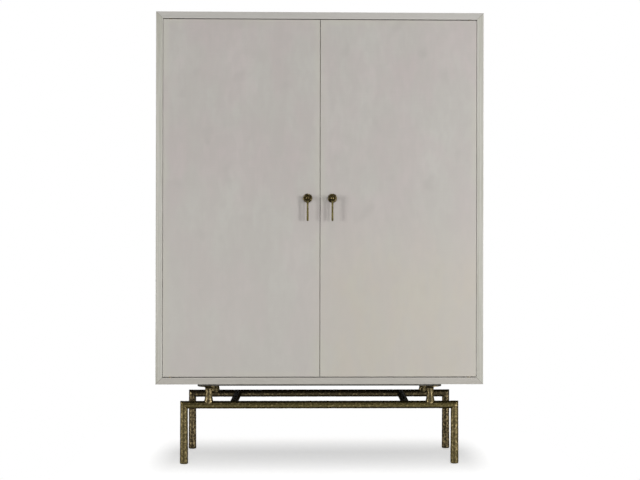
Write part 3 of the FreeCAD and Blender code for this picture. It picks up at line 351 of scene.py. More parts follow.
patina = patina_group()
stand_bronze = bronze("hammered stand bronze", DENT_PITCH, BRONZE_HOLLOW, BRONZE_RIDGE, WELL_RUBBED)
lit_rail_bronze = bronze("rubbed rail bronze in painted light", DENT_PITCH, LIT_RAIL_HOLLOW, LIT_RAIL_RIDGE, WELL_RUBBED)
shaded_rear_bronze = bronze("rear stand bronze in painted shade", DENT_PITCH, SHADED_REAR_HOLLOW, SHADED_REAR_RIDGE,
                          REAR_RUBBING_IN_SHADE)
shaded_rear_leg_bronze = bronze("rear leg bronze in painted shade", DENT_PITCH, SHADED_REAR_LEG_HOLLOW, SHADED_REAR_LEG_RIDGE, REAR_RUBBING_IN_SHADE)
rail_finishes = {"front": lit_rail_bronze, "rear": shaded_rear_bronze}
leg_finishes = {"front": stand_bronze, "rear": shaded_rear_leg_bronze}
hammer_blows = hammer_rule()
hammered_bar = bar_rule(hammer_blows)
stand_bars = []


def bar(node, finish, length, radius, place, **ends):
    """One hammered bar in place of a plain round solid. Its ridges stand out past this radius."""
    radius = radius + RIDGE_RISE
    sides = round(2 * math.pi * radius / BAR_MESH)
    plain = {
        "Foot Radius": radius, "Taper Height": length, "Foot Round": 0.0, "Round Rows": 0,
        "Foot Mitre": 0.0, "Top Mitre": 0.0, "Foot Cope": 0.0, "Top Cope": 0.0,
        "Foot Flare": 0.0, "Flare Height": length, "Weld": 0.0, "Turn": (0.0, 0.0, 0.0),
    }
    cut = {name.replace("_", " ").title(): value for name, value in ends.items()}
    rows = round(length / BAR_MESH) + cut.get("Round Rows", 0)
    piece = grow(f"{node}_hammered", hammered_bar, {
        **plain, **cut, "Length": length, "Radius": radius, "Place": place, "Rows": rows, "Sides": sides,
        "Dent Pitch": DENT_PITCH, "Dent Depth": DENT_DEPTH, "Material": finish,
    })
    hold(piece, "case", "stand_bronze", node)
    stand_bars.append(piece)


for row, rail_y in RAIL_PLACES.items():
    bar(f"{row}_rail", rail_finishes[row], LEG_SPACING, RAIL_RADIUS,
        (-LEG_SPACING / 2, rail_y, RAIL_HEIGHT), turn=(0.0, math.pi / 2, 0.0),
        foot_mitre=1.0, top_mitre=-1.0)
    for name, side in SIDES.items():
        bar(f"{row}_{name}_leg", leg_finishes[row], RAIL_HEIGHT, RAIL_RADIUS,
            (side * LEG_SPACING / 2, rail_y, 0.0), foot_radius=FOOT_RADIUS, taper_height=TAPER_HEIGHT,
            foot_round=FOOT_ROUND, round_rows=FOOT_ROUND_ROWS, top_mitre=float(side))


# Stretchers, posts and flange discs
# Two stretchers tie the frames together, and four short posts carry discs screwed up into the case.
# The bars are coped over the rails and welded. The posts flare along the rail, with a weld bead above.

STRETCHER_SPACING = 0.658
STRETCHER_RADIUS = 0.014
POST_SPACING = 0.840
POST_RADIUS = 0.0130
POST_HEIGHT = 0.072
POST_FLARE = 0.0038
FLARE_HEIGHT = 0.034
WELD_SIZE = 0.011
COPE_PLAY = 0.0001
COPE_RADIUS = RAIL_RADIUS + COPE_PLAY

CARRIER_HOLLOW = paint(74, 66, 45)
CARRIER_RIDGE = paint(114, 102, 75)
# Darker, less rubbed copy for the rear posts: painted shade under the case
SHADED_REAR_POST_HOLLOW = paint(54, 48, 32)
SHADED_REAR_POST_RIDGE = paint(84, 75, 52)
carrier_bronze = bronze("rubbed carrier bronze", DENT_PITCH, CARRIER_HOLLOW, CARRIER_RIDGE, WELL_RUBBED)
shaded_rear_post_bronze = bronze("rear post bronze in painted shade", DENT_PITCH, SHADED_REAR_POST_HOLLOW, SHADED_REAR_POST_RIDGE, REAR_RUBBING_IN_SHADE)
post_finishes = {"front": carrier_bronze, "rear": shaded_rear_post_bronze}

frame_depth = RAIL_PLACES["rear"] - RAIL_PLACES["front"]
for name, side in SIDES.items():
    bar(f"{name}_stretcher", stand_bronze, frame_depth, STRETCHER_RADIUS,
        (side * STRETCHER_SPACING / 2, RAIL_PLACES["front"], RAIL_HEIGHT),
        turn=(-math.pi / 2, 0.0, 0.0), foot_cope=COPE_RADIUS, top_cope=COPE_RADIUS)
    for row, rail_y in RAIL_PLACES.items():
        bar(f"{row}_{name}_post", post_finishes[row], POST_HEIGHT, POST_RADIUS,
            (side * POST_SPACING / 2, rail_y, RAIL_HEIGHT), foot_cope=COPE_RADIUS,
            foot_flare=POST_FLARE, flare_height=FLARE_HEIGHT, weld=WELD_SIZE)


def dress(finish, *nodes):
    """Gives solids that stay in view their finish."""
    for name in nodes:
        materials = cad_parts[name].data.materials
        materials.clear()
        materials.append(finish)


# Darker, less rubbed copy for the flange discs: painted shade under the case, dimming their reflection
SHADED_DISC_HOLLOW = paint(46, 40, 26)
SHADED_DISC_RIDGE = paint(78, 69, 46)
SHADED_DISC_RUBBING = 0.6
shaded_disc_bronze = bronze("hammered disc bronze in painted shade", DENT_PITCH, SHADED_DISC_HOLLOW, SHADED_DISC_RIDGE, SHADED_DISC_RUBBING,
                     dents_in_relief=True)
dress(shaded_disc_bronze, *(f"{row}_{name}_flange_disc" for row in RAIL_PLACES for name in SIDES))


# Mounting board
# A plywood board stained dark, set back under the case so that it is hardly seen.
# The discs and the case's bottom board are screwed together through it.

BAND_STRETCH = (0.9, 22.0, 22.0)
BAND_RANGE = (0.32, 0.68)
BAND_SHARE = 0.45
STREAK_STRETCH = (2.6, 150.0, 150.0)
STREAK_RANGE = (0.35, 0.68)
STREAK_SHARE = 0.55
PORE_STRETCH = (26.0, 1100.0, 1100.0)
PORE_RANGE = (0.56, 0.66)
PORES_OFF_STREAK = 0.35
PORE_DEPTH = 0.0001
WOOD_ROUGHNESS = 0.48
STREAK_ROUGHNESS = 0.10


def grain_group():
    """Straight open grain along X: broad bands, fine streaks and short pores."""
    tree, given, result = new_tree("open grain", "ShaderNodeTree", {
        "Vector": "Vector", "Ground": "Color", "Streak": "Color", "Pore": "Color", "Pores": "Float",
    }, {"Colour": "Color", "Roughness": "Float", "Height": "Float"})

    def layer(stretch, detail):
        place = vectors(tree, "MULTIPLY", given["Vector"], stretch)
        return noise(tree, place, 1.0, detail, Roughness=0.6, Distortion=0.3)

    band = spread(tree, layer(BAND_STRETCH, 2.0), *BAND_RANGE)
    streak = spread(tree, layer(STREAK_STRETCH, 3.0), *STREAK_RANGE)
    dash = spread(tree, layer(PORE_STRETCH, 1.0), *PORE_RANGE)
    streaked = maths(tree, "MULTIPLY", streak, STREAK_SHARE)
    share = maths(tree, "MULTIPLY_ADD", band, BAND_SHARE, streaked)
    plain = mix(tree, share, given["Ground"], given["Streak"])
    pores = maths(tree, "MULTIPLY", dash, spread(tree, streak, 0.0, 1.0, PORES_OFF_STREAK, 1.0))
    pores = maths(tree, "MULTIPLY", pores, given["Pores"])
    feed(tree, result["Colour"], mix(tree, pores, plain, given["Pore"]))
    rough = maths(tree, "MULTIPLY_ADD", streak, STREAK_ROUGHNESS, WOOD_ROUGHNESS)
    feed(tree, result["Roughness"], rough)
    feed(tree, result["Height"], maths(tree, "SUBTRACT", 1.0, dash))
    return tree


def wood(name, turn, ground, streak, pore, pores, pore_depth):
    """A wood finish with its grain turned to run along the board."""
    finish, tree, surface = new_finish(name)
    place = add(tree, "ShaderNodeTexCoord").outputs["Object"]
    turned = add(tree, "ShaderNodeMapping", {"Vector": place, "Rotation": turn}, vector_type="TEXTURE")
    figure = add(tree, "ShaderNodeGroup", {
        "Vector": turned.outputs["Vector"], "Ground": ground, "Streak": streak, "Pore": pore,
        "Pores": pores,
    }, node_tree=grain)
    feed(tree, surface.inputs["Base Color"], figure.outputs["Colour"])
    feed(tree, surface.inputs["Roughness"], figure.outputs["Roughness"])
    relief(tree, surface, figure.outputs["Height"], pore_depth)
    return finish


ALONG_X = (0.0, 0.0, 0.0)
ALONG_Y = (0.0, 0.0, math.pi / 2)
ALONG_Z = (0.0, -math.pi / 2, 0.0)
grain = grain_group()
BOARD_GROUND = paint(98, 96, 90)
BOARD_STREAK = paint(88, 86, 80)
BOARD_PORE = paint(68, 66, 61)
BOARD_PORES = 0.6
dark_board = wood("dark stained board", ALONG_X, BOARD_GROUND, BOARD_STREAK, BOARD_PORE, BOARD_PORES,
                  PORE_DEPTH)
dress(dark_board, "mounting_board")


# Case boards
# Top, bottom and sides of veneered board, whitewashed so that the grain stays just visible.
# The four corners are mitred at 45 degrees, and the splines in the mitres show only at the back.

OPENING_WIDTH = 1.170
OPENING_HEIGHT = 1.336
CASE_MIDDLE = 1.004
CASE_FRONT = -0.241271
# Painted highlight along the inner front edge of the case
EDGE_HIGHLIGHT_WIDTH = 0.0026
EDGE_HIGHLIGHT_DEPTH = (0.004, 0.0005)
EDGE_HIGHLIGHT_SHARE = 0.7
GLUE_LINE = 0.0015
GLUE_SHARE = 0.7
LEVEL_GROUND = paint(187, 184, 179)
LEVEL_STREAK = paint(178, 176, 170)
# The bottom board's copy is darker than the top's: painted shade
SHADED_LOW_GROUND = paint(182, 178, 170)
SHADED_LOW_STREAK = paint(172, 168, 160)
UPRIGHT_GROUND = paint(193, 191, 183)
UPRIGHT_STREAK = paint(160, 158, 145)
WASH_PORE = paint(199, 197, 190)
WASH_PORES = 0.5
WASH_EDGE_HIGHLIGHT = paint(212, 208, 202)
WASH_GLUE = paint(124, 120, 110)


def corner_group():
    """A painted highlight along the inner edge at the front of the case, and the fine glue line in each
    mitre.
    """
    tree, _, result = new_tree("mitred corners", "ShaderNodeTree", {}, {
        "Edge Highlight": "Float", "Glue": "Float"})
    place = add(tree, "ShaderNodeSeparateXYZ", {0: add(tree, "ShaderNodeTexCoord").outputs["Object"]})
    outside = maths(tree, "SUBTRACT", maths(tree, "ABSOLUTE", place.outputs["X"]), OPENING_WIDTH / 2)
    height = maths(tree, "ABSOLUTE", maths(tree, "SUBTRACT", place.outputs["Z"], CASE_MIDDLE))
    beyond = maths(tree, "SUBTRACT", height, OPENING_HEIGHT / 2)
    from_edge = maths(tree, "MAXIMUM", outside, beyond)
    from_mitre = maths(tree, "ABSOLUTE", maths(tree, "SUBTRACT", outside, beyond))
    at_front = spread(tree, place.outputs["Y"], *(CASE_FRONT + depth for depth in EDGE_HIGHLIGHT_DEPTH))
    # Painted highlight along the inner front edge
    rubbed = maths(tree, "MULTIPLY", spread(tree, from_edge, EDGE_HIGHLIGHT_WIDTH, 0.0), at_front)
    feed(tree, result["Edge Highlight"], rubbed)
    feed(tree, result["Glue"], spread(tree, from_mitre, GLUE_LINE, GLUE_LINE / 3))
    return tree


def whitewash(name, turn, ground, streak):
    """Whitewashed wood, grained along the board, with a painted highlight along the inner edge, and mitred
    at the ends.
    """
    finish = wood(name, turn, ground, streak, WASH_PORE, WASH_PORES, PORE_DEPTH)
    tree = finish.node_tree
    base_colour = tree.nodes["Principled BSDF"].inputs["Base Color"]
    figure = base_colour.links[0].from_socket
    edges = add(tree, "ShaderNodeGroup", node_tree=corners).outputs
    colour = mix(tree, maths(tree, "MULTIPLY", edges["Edge Highlight"], EDGE_HIGHLIGHT_SHARE), figure, WASH_EDGE_HIGHLIGHT)
    colour = mix(tree, maths(tree, "MULTIPLY", edges["Glue"], GLUE_SHARE), colour, WASH_GLUE)
    feed(tree, base_colour, colour)
    return finish


corners = corner_group()
level_wash = whitewash("whitewash on the top", ALONG_X, LEVEL_GROUND, LEVEL_STREAK)
shaded_low_wash = whitewash("whitewash on the bottom in painted shade", ALONG_X, SHADED_LOW_GROUND, SHADED_LOW_STREAK)
upright_wash = whitewash("whitewash along the height", ALONG_Z, UPRIGHT_GROUND, UPRIGHT_STREAK)
dress(level_wash, "case_top")
dress(shaded_low_wash, "case_bottom")
dress(upright_wash, "case_left_side", "case_right_side")


# Inside of the case
# Back panel, shelves, partition, bottle rack and stemware rails of oiled light brown wood.
# The back panel is screwed into a rabbet, and the upper and lower shelves rest on steel pins.

OIL_GROUND = paint(164, 135, 101)
OIL_STREAK = paint(136, 108, 78)
OIL_PORE = paint(98, 75, 52)
OIL_PORES = 0.7
OIL_PORE_DEPTH = 0.00015


def oiled_wood(name, turn):
    return wood(name, turn, OIL_GROUND, OIL_STREAK, OIL_PORE, OIL_PORES, OIL_PORE_DEPTH)


dress(oiled_wood("oiled wood along the width", ALONG_X),
      "serving_shelf", "upper_shelf", "lower_shelf")
dress(oiled_wood("oiled wood along the height", ALONG_Z),
      "back_panel", "lower_partition", "mitre_splines")
dress(oiled_wood("oiled wood along the depth", ALONG_Y),
      "stemware_spacers", "stemware_runners", "bottle_rack_rising_board", "bottle_rack_falling_board")


# Screws, shelf pins, strike buttons and bolts
# Plain steel: countersunk screws in the back, hinges, catches and discs, turned pins and buttons.
# The bolts hold the pulls from behind the doors.

STEEL_DARK = paint(150, 148, 144)
STEEL_BRIGHT = paint(178, 176, 172)
STEEL_ROUGHNESS = (0.30, 0.46)
SCUFF_SCALE = 900.0
FINE_RELIEF = 0.00003


def steel():
    finish, tree, surface = new_finish("plain steel", Metallic=1.0)
    place = add(tree, "ShaderNodeTexCoord").outputs["Object"]
    scuff = noise(tree, place, SCUFF_SCALE, 3.0)
    feed(tree, surface.inputs["Base Color"], mix(tree, scuff, STEEL_DARK, STEEL_BRIGHT))
    feed(tree, surface.inputs["Roughness"], spread(tree, scuff, *NOISE_MIDDLE, *STEEL_ROUGHNESS))
    relief(tree, surface, scuff, FINE_RELIEF)
    return finish


fastener_steel = steel()
dress(fastener_steel, "back_screws", "case_hardware_screws", "stand_screws", "shelf_pins")
for name in SIDES:
    dress(fastener_steel, f"{name}_door_hinge_screws", f"{name}_strike_buttons", f"{name}_pull_bolt")


# Knife hinges and magnetic catches
# Leaves of brushed dull brass let into the doors and the case boards, hidden when the doors are shut.
# A moulded black catch behind the middle gap holds each pair of strike buttons.

BRUSH_STRETCH = (30.0, 2600.0, 2600.0)
BRUSHED_DARK = paint(92, 80, 52)
BRUSHED_BRIGHT = paint(108, 94, 62)
BRUSHED_ROUGHNESS = (0.26, 0.42)
MOULD_SCALE = 1500.0
MOULD_DARK = paint(38, 37, 35)
MOULD_PALE = paint(48, 46, 44)
MOULD_ROUGHNESS = (0.46, 0.6)
MOULD_RELIEF = 0.00005


def brushed_brass():
    finish, tree, surface = new_finish("brushed dull brass", Metallic=1.0)
    place = add(tree, "ShaderNodeTexCoord").outputs["Object"]
    brushing = noise(tree, vectors(tree, "MULTIPLY", place, BRUSH_STRETCH), 1.0, 2.0)
    feed(tree, surface.inputs["Base Color"], mix(tree, brushing, BRUSHED_DARK, BRUSHED_BRIGHT))
    feed(tree, surface.inputs["Roughness"], spread(tree, brushing, *NOISE_MIDDLE, *BRUSHED_ROUGHNESS))
    relief(tree, surface, brushing, FINE_RELIEF)
    return finish


def moulded_plastic():
    finish, tree, surface = new_finish("black moulded plastic")
    place = add(tree, "ShaderNodeTexCoord").outputs["Object"]
    spark = noise(tree, place, MOULD_SCALE, 1.0)
    feed(tree, surface.inputs["Base Color"], mix(tree, spark, MOULD_DARK, MOULD_PALE))
    feed(tree, surface.inputs["Roughness"], spread(tree, spark, *NOISE_MIDDLE, *MOULD_ROUGHNESS))
    relief(tree, surface, spark, MOULD_RELIEF)
    return finish


hinge_brass = brushed_brass()
for name in SIDES:
    for level in ("top", "bottom"):
        dress(hinge_brass, f"{name}_{level}_hinge_case_leaf", f"{name}_{level}_hinge_door_leaf")
dress(moulded_plastic(), "door_catches")


# Doors
# Two flush inset slabs with a parchment-like off-white finish, rubbed on in soft upright patches.
# It is painted paler low down as light from the floor, and yellower at the edges and the lower right. The
# doors hang on knife hinges.

DOOR_TOP = 1.669
DOOR_FOOT = 0.339
DOOR_OUTER = 0.5835
BROAD_STRETCH = (5.0, 5.0, 2.6)
BROAD_RANGE = (0.32, 0.68)
BROAD_DARK = paint(183, 177, 172)
BROAD_PALE = paint(193, 189, 183)
TINT_STRETCH = (8.0, 8.0, 4.0)
TINT_RANGE = (0.38, 0.62)
TINT_PINK = paint(189, 179, 178)
TINT_GREEN = paint(186, 185, 179)
TINT_SHARE = 0.6
# Each layer's stretch, detail, shown range, share and colour
RUBBED_LAYERS = {
    "patches": ((19.0, 19.0, 7.0), 2.0, (0.36, 0.64), 0.4, paint(179, 174, 169)),
    "mottle": ((34.0, 34.0, 17.0), 1.0, (0.38, 0.62), 0.34, paint(179, 174, 170)),
    "smudges": ((13.0, 13.0, 10.0), 1.0, (0.60, 0.84), 0.7, paint(172, 167, 163)),
}
UPRIGHT_FIBRE = (420.0, 420.0, 9.0)
LEVEL_FIBRE = (9.0, 9.0, 420.0)
FIBRE_SHARE = 0.22
FIBRE_DARK = paint(174, 169, 163)
FIBRE_RELIEF = 0.00004
# Painted light from the floor: paler towards the foot of the doors
PAINTED_LIGHT_HEIGHTS = (1.35, DOOR_FOOT + 0.1)
PAINTED_LIGHT_SHARE = 0.40
PAINTED_LIGHT_PALE = paint(194, 191, 184)
YELLOW_HEIGHTS = (1.02, 0.62)
YELLOW_ACROSS = (-0.07, 0.10)
YELLOW_ON_PATCH = 0.6
YELLOW_SHARE = 0.48
YELLOW = paint(190, 183, 168)
EDGE_WIDTH = 0.035
EDGE_OFF_TINT = 0.3
EDGE_SHARE = 0.35
EDGE_YELLOW = paint(192, 189, 175)
DOOR_ROUGHNESS = (0.51, 0.55)


def parchment():
    finish, tree, surface = new_finish("off-white parchment finish")
    place = add(tree, "ShaderNodeTexCoord").outputs["Object"]
    spot = add(tree, "ShaderNodeSeparateXYZ", {0: place}).outputs

    def cloud(stretch, detail):
        return noise(tree, vectors(tree, "MULTIPLY", place, stretch), 1.0, detail, Roughness=0.55)

    def lay(under, mask, share, over):
        return mix(tree, maths(tree, "MULTIPLY", mask, share), under, over)

    # Broad clouds with a pink or green tint, rubbed-on layers of three sizes, and a fine weave of fibres
    broad = spread(tree, cloud(BROAD_STRETCH, 2.0), *BROAD_RANGE)
    tint = spread(tree, cloud(TINT_STRETCH, 2.0), *TINT_RANGE)
    colour = mix(tree, broad, BROAD_DARK, BROAD_PALE)
    colour = mix(tree, TINT_SHARE, colour, mix(tree, tint, TINT_PINK, TINT_GREEN))
    masks = {}
    for name, (stretch, detail, shown, share, shade) in RUBBED_LAYERS.items():
        masks[name] = spread(tree, cloud(stretch, detail), *shown)
        colour = lay(colour, masks[name], share, shade)
    up = spread(tree, cloud(UPRIGHT_FIBRE, 2.0), *NOISE_MIDDLE)
    level = spread(tree, cloud(LEVEL_FIBRE, 2.0), *NOISE_MIDDLE)
    fibre = maths(tree, "MULTIPLY_ADD", up, 0.5, maths(tree, "MULTIPLY", level, 0.5))
    colour = lay(colour, fibre, FIBRE_SHARE, FIBRE_DARK)

    # Painted light from the floor, paler towards the foot; yellower there on the right, and yellower along
    # the edges
    low = spread(tree, spot["Z"], *PAINTED_LIGHT_HEIGHTS)
    right = spread(tree, spot["X"], *YELLOW_ACROSS)
    yellowed = maths(tree, "MULTIPLY", spread(tree, spot["Z"], *YELLOW_HEIGHTS), right)
    on_patch = spread(tree, masks["patches"], 0.0, 1.0, 1.0, YELLOW_ON_PATCH)
    yellowed = maths(tree, "MULTIPLY", yellowed, on_patch)
    out = maths(tree, "ABSOLUTE", spot["X"])
    beside = maths(tree, "MINIMUM", out, maths(tree, "SUBTRACT", DOOR_OUTER, out))
    above = maths(tree, "SUBTRACT", DOOR_TOP, spot["Z"])
    below = maths(tree, "SUBTRACT", spot["Z"], DOOR_FOOT)
    inward = maths(tree, "MINIMUM", beside, maths(tree, "MINIMUM", above, below))
    on_tint = spread(tree, tint, 0.0, 1.0, EDGE_OFF_TINT, 1.0)
    edge = maths(tree, "MULTIPLY", spread(tree, inward, EDGE_WIDTH, 0.0), on_tint)
    colour = lay(colour, low, PAINTED_LIGHT_SHARE, PAINTED_LIGHT_PALE)
    colour = lay(colour, yellowed, YELLOW_SHARE, YELLOW)
    colour = lay(colour, edge, EDGE_SHARE, EDGE_YELLOW)
    feed(tree, surface.inputs["Base Color"], colour)
    feed(tree, surface.inputs["Roughness"], spread(tree, masks["patches"], 0.0, 1.0, *DOOR_ROUGHNESS))
    relief(tree, surface, fibre, FIBRE_RELIEF)
    return finish


dress(parchment(), "left_door", "right_door")


# Drop pulls
# A hammered domed rosette and a forked post of dark bronze, and a plain aged brass rod on a cross pin.
# The rosettes are rebuilt with their hammer marks, and the rest keeps its turned shape.

PULL_X = 0.046
PULL_HEIGHT = 1.004
DOOR_FACE = -0.240271
ROSETTE_RADIUS = 0.017
ROSETTE_RIM = 0.0025
ROSETTE_CROWN = 0.005
ROSETTE_LAND = 0.008
ROSETTE_BORE = 0.00405
RIM_ROUND = 0.0006
RIM_STEPS = 4
ROSETTE_PITCH = 0.0052
ROSETTE_DENT = 0.00040
ROSETTE_SEGMENTS = 112
ROSETTE_STEPS = 14

PULL_HOLLOW = paint(38, 33, 19)
PULL_RIDGE = paint(104, 92, 62)
POST_HOLLOW = paint(74, 64, 38)
POST_RIDGE = paint(160, 140, 96)
PULL_RUBBING = 0.9
TARNISH_SCALE = 160.0
TARNISH_RANGE = (0.38, 0.66)
DRAWN_STRETCH = (1800.0, 1800.0, 40.0)
DROP_BRIGHT = paint(86, 78, 48)
DROP_DULL = paint(60, 54, 33)
DROP_ROUGHNESS = (0.28, 0.44)


def rosette_profile():
    """Points from the back of the bore round the rim and over the dome: distance out, radius."""
    points = [(0.0, ROSETTE_BORE), (0.0, ROSETTE_RADIUS - RIM_ROUND)]
    for step in range(1, RIM_STEPS + 1):
        turn = step * math.pi / (2 * RIM_STEPS)
        out = RIM_ROUND * (1 - math.cos(turn))
        points.append((out, ROSETTE_RADIUS - RIM_ROUND * (1 - math.sin(turn))))
    rise = ROSETTE_CROWN - ROSETTE_RIM
    for step in range(ROSETTE_STEPS + 1):
        share = step / ROSETTE_STEPS
        radius = ROSETTE_RADIUS + share * (ROSETTE_LAND - ROSETTE_RADIUS)
        swell = math.sin(share * math.pi / 2)
        points.append((ROSETTE_RIM + rise * swell * (2 - swell), radius))
    points.append((ROSETTE_CROWN, ROSETTE_BORE))
    return points


def turned_ring(name, profile, x, y, z, segments):
    """A closed ring turned about an axis that points out of the door."""
    mesh = bpy.data.meshes.new(name)
    made = bmesh.new()
    rings = []
    for segment in range(segments):
        angle = 2 * math.pi * segment / segments
        across, up = math.cos(angle), math.sin(angle)
        rings.append([made.verts.new((x + r * across, y - out, z + r * up)) for out, r in profile])
    for segment in range(segments):
        near, far = rings[segment], rings[(segment + 1) % segments]
        for index in range(len(profile)):
            following = (index + 1) % len(profile)
            made.faces.new((near[index], near[following], far[following], far[index]))
    bmesh.ops.recalc_face_normals(made, faces=made.faces)
    for face in made.faces:
        face.smooth = True
    made.to_mesh(mesh)
    made.free()
    return mesh


def hammered_face_rule(hammer):
    """Hammers a ready shape and gives it its finish."""
    tree, given, result = new_tree("hammered face", "GeometryNodeTree", {
        "Geometry": "Geometry", "Dent Pitch": "Float", "Dent Depth": "Float", "Material": "Material",
    }, {"Geometry": "Geometry"})
    dented = add(tree, "GeometryNodeGroup", node_tree=hammer)
    for socket in ("Geometry", "Dent Pitch", "Dent Depth"):
        feed(tree, dented.inputs[socket], given[socket])
    whole = add(tree, "GeometryNodeRealizeInstances", {"Geometry": dented.outputs[0]})
    finished = add(tree, "GeometryNodeSetMaterial", {
        "Geometry": whole.outputs[0], "Material": given["Material"]})
    feed(tree, result["Geometry"], finished.outputs[0])
    return tree


def aged_brass():
    finish, tree, surface = new_finish("aged drop brass", Metallic=1.0)
    place = add(tree, "ShaderNodeTexCoord").outputs["Object"]
    dull = spread(tree, noise(tree, place, TARNISH_SCALE, 4.0), *TARNISH_RANGE)
    lines = noise(tree, vectors(tree, "MULTIPLY", place, DRAWN_STRETCH), 1.0, 2.0)
    feed(tree, surface.inputs["Base Color"], mix(tree, dull, DROP_BRIGHT, DROP_DULL))
    feed(tree, surface.inputs["Roughness"], spread(tree, lines, *NOISE_MIDDLE, *DROP_ROUGHNESS))
    relief(tree, surface, lines, FINE_RELIEF)
    return finish


pull_bronze = bronze("hammered pull bronze", ROSETTE_PITCH, PULL_HOLLOW, PULL_RIDGE, PULL_RUBBING)
post_bronze = bronze("rubbed post bronze", ROSETTE_PITCH, POST_HOLLOW, POST_RIDGE, WELL_RUBBED,
                     dents_in_relief=True)
drop_brass = aged_brass()
hammered_face = hammered_face_rule(hammer_blows)
for name, side in SIDES.items():
    ring = turned_ring(f"{name}_rosette_ring", rosette_profile(), side * PULL_X, DOOR_FACE, PULL_HEIGHT,
                       ROSETTE_SEGMENTS)
    rosette = grow(f"{name}_pull_rosette_hammered", hammered_face, {
        "Dent Pitch": ROSETTE_PITCH, "Dent Depth": ROSETTE_DENT, "Material": pull_bronze}, ring)
    hold(rosette, f"{name}_door_body", "pull_bronze", f"{name}_pull_rosette")
    dress(post_bronze, f"{name}_pull_post")
    dress(drop_brass, f"{name}_pull_pin", f"{name}_pull_drop")


# Studio
# A pale floor that runs to a white surround, soft boxes all round and overhead, and a dark wall behind
# the camera that shows only in the metal. The camera stands level before the doors, slightly left of
# the middle, as in the photograph.

FLOOR_REACH = 14.0
FLOOR_PALE = (0.46, 0.46, 0.46, 1.0)
FLOOR_WHITE = (0.89, 0.89, 0.89, 1.0)
FLOOR_GLOW = 0.543
SHADED_REACH = (0.72, 0.30, 0.0)
SHADED_EDGE = 0.24
DOME_LEVEL = 0.24
WHITE = (1.0, 1.0, 1.0, 1.0)
# Each soft box's place, its size and its power in watts
PART_BOXES = {
    "right": (2.99, -2.41, 0.85, (0.5, 1.4), 58.0),
    "near right": (3.28, -4.73, 0.85, (0.75, 2.1), 87.5),
    "left": (-3.26, -1.87, 0.85, (0.6, 1.4), 61.0),
    "above": (0.0, 0.3, 4.2, (2.0, 1.0), 24.0),
    "above front": (0.0, -2.5, 4.0, (2.0, 1.0), 12.0),
    "above rear": (0.0, 2.5, 4.0, (2.0, 1.0), 8.0),
    "behind": (0.0, 4.0, 1.6, (1.6, 1.4), 60.0),
}
FLOOR_BOXES = {
    "above the floor": (0.0, -7.0, 40.0, (14.0, 70.0), 8300.0),
}
UNMIRRORED_BOXES = ("behind",)
LIT_POINT = Vector((0.0, -0.2, 0.6))
WALL_PLACE = -6.5
WALL_REACH = 4.5
WALL_HEIGHT = 4.4
WALL_DARK = (0.085, 0.085, 0.085, 1.0)
CAMERA_PLACE = (-0.015, -4.919, 0.902)
CAMERA_TURN = (90.03, -0.101, -1.304)
LENS = 70.65
SHIFT = (-0.0384, -0.0234)


def seen_directly(tree):
    """1 for what the camera sees, also in metal and glass, and 0 for light that falls on things."""
    path = add(tree, "ShaderNodeLightPath").outputs
    mirrored = maths(tree, "MAXIMUM", path["Is Glossy Ray"], path["Is Transmission Ray"])
    return maths(tree, "MAXIMUM", path["Is Camera Ray"], mirrored)


def floor_finish():
    """White to the camera, with the part's shadow on it. Light bounces off it as off a grey floor."""
    finish = bpy.data.materials.new("pale floor")
    finish.use_nodes = True
    tree = finish.node_tree
    tree.nodes.clear()
    lit = add(tree, "ShaderNodeBsdfDiffuse", {"Color": FLOOR_PALE})
    shaded = add(tree, "ShaderNodeBsdfDiffuse", {"Color": FLOOR_WHITE})
    glow = add(tree, "ShaderNodeEmission", {"Color": WHITE, "Strength": FLOOR_GLOW})
    near = add(tree, "ShaderNodeAddShader", {0: shaded.outputs[0], 1: glow.outputs[0]})
    far = add(tree, "ShaderNodeEmission", {"Color": WHITE, "Strength": 1.0})
    place = add(tree, "ShaderNodeTexCoord").outputs["Object"]
    beyond = vectors(tree, "SUBTRACT", vectors(tree, "ABSOLUTE", place), SHADED_REACH)
    beyond = add(tree, "ShaderNodeSeparateXYZ", {0: beyond}).outputs
    away = spread(tree, maths(tree, "MAXIMUM", beyond["X"], beyond["Y"]), 0.0, SHADED_EDGE)
    seen = add(tree, "ShaderNodeMixShader", {0: away, 1: near.outputs[0], 2: far.outputs[0]})
    both = add(tree, "ShaderNodeMixShader", {
        0: seen_directly(tree), 1: lit.outputs[0], 2: seen.outputs[0]})
    add(tree, "ShaderNodeOutputMaterial", {"Surface": both.outputs[0]})
    return finish


def stage_sheet(name, points, finish):
    """One flat sheet of the studio through these four points."""
    mesh = bpy.data.meshes.new(name)
    mesh.from_pydata(points, [], [(0, 1, 2, 3)])
    mesh.materials.append(finish)
    sheet = bpy.data.objects.new(name, mesh)
    bpy.context.scene.collection.objects.link(sheet)
    return sheet


def wall_finish():
    finish = bpy.data.materials.new("dark wall")
    finish.use_nodes = True
    tree = finish.node_tree
    tree.nodes.clear()
    dark = add(tree, "ShaderNodeBsdfDiffuse", {"Color": WALL_DARK})
    add(tree, "ShaderNodeOutputMaterial", {"Surface": dark.outputs[0]})
    return finish


floor_corners = ((-1, -1), (1, -1), (1, 1), (-1, 1))
floor_points = [(x * FLOOR_REACH, y * FLOOR_REACH, 0.0) for x, y in floor_corners]
floor = stage_sheet("floor", floor_points, floor_finish())
wall_corners = ((-1, 0.0), (-1, WALL_HEIGHT), (1, WALL_HEIGHT), (1, 0.0))
wall_points = [(x * WALL_REACH, WALL_PLACE, z) for x, z in wall_corners]
wall = stage_sheet("wall", wall_points, wall_finish())
wall.visible_camera = False
wall.visible_diffuse = False
wall.visible_shadow = False
wall.visible_transmission = False

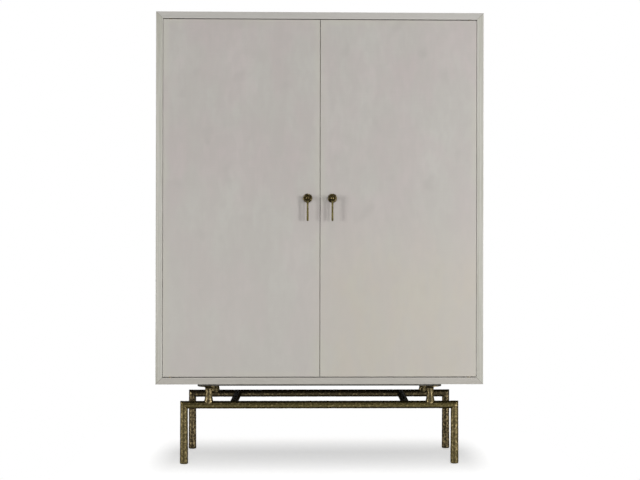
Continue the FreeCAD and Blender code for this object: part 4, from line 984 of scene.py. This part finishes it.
world = bpy.data.worlds.new("studio surround")
world.use_nodes = True
world.node_tree.nodes.clear()
dome = add(world.node_tree, "ShaderNodeBackground", {"Color": WHITE, "Strength": DOME_LEVEL})
white = add(world.node_tree, "ShaderNodeBackground", {"Color": WHITE, "Strength": 1.0})
surround = add(world.node_tree, "ShaderNodeMixShader", {
    0: seen_directly(world.node_tree), 1: dome.outputs[0], 2: white.outputs[0]})
add(world.node_tree, "ShaderNodeOutputWorld", {"Surface": surround.outputs[0]})
bpy.context.scene.world = world

# Each box lights either the part or the floor. The floor's box is shaded by the case's bottom, the
# mounting board and the stand alone, so that the floor keeps one soft shadow, darkest under the middle.
floor_alone = bpy.data.collections.new("floor alone")
floor_alone.objects.link(floor)
all_but_floor = bpy.data.collections.new("all but the floor")
all_but_floor.objects.link(floor)
all_but_floor.collection_objects[0].light_linking.link_state = "EXCLUDE"

low_pieces = bpy.data.collections.new("low pieces")
for piece in (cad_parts["case_bottom"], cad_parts["mounting_board"], *stand_bars):
    low_pieces.objects.link(piece)

for name, (*place, size, power) in {**PART_BOXES, **FLOOR_BOXES}.items():
    lamp = bpy.data.lights.new(f"{name} soft box", "AREA")
    lamp.shape = "RECTANGLE"
    lamp.size, lamp.size_y = size
    lamp.energy = power
    box = bpy.data.objects.new(f"{name} soft box", lamp)
    box.location = place
    box.rotation_euler = (LIT_POINT - box.location).to_track_quat("-Z", "Y").to_euler()
    box.visible_camera = False
    box.visible_glossy = name not in UNMIRRORED_BOXES
    if name in PART_BOXES:
        box.light_linking.receiver_collection = all_but_floor
    else:
        box.light_linking.receiver_collection = floor_alone
        box.light_linking.blocker_collection = low_pieces
    bpy.context.scene.collection.objects.link(box)

camera = bpy.data.objects.new("camera", bpy.data.cameras.new("camera"))
camera.location = CAMERA_PLACE
camera.rotation_euler = [math.radians(angle) for angle in CAMERA_TURN]
camera.data.lens = LENS
camera.data.shift_x, camera.data.shift_y = SHIFT
bpy.context.scene.collection.objects.link(camera)
bpy.context.scene.camera = camera
bpy.context.scene.view_settings.view_transform = "Standard"
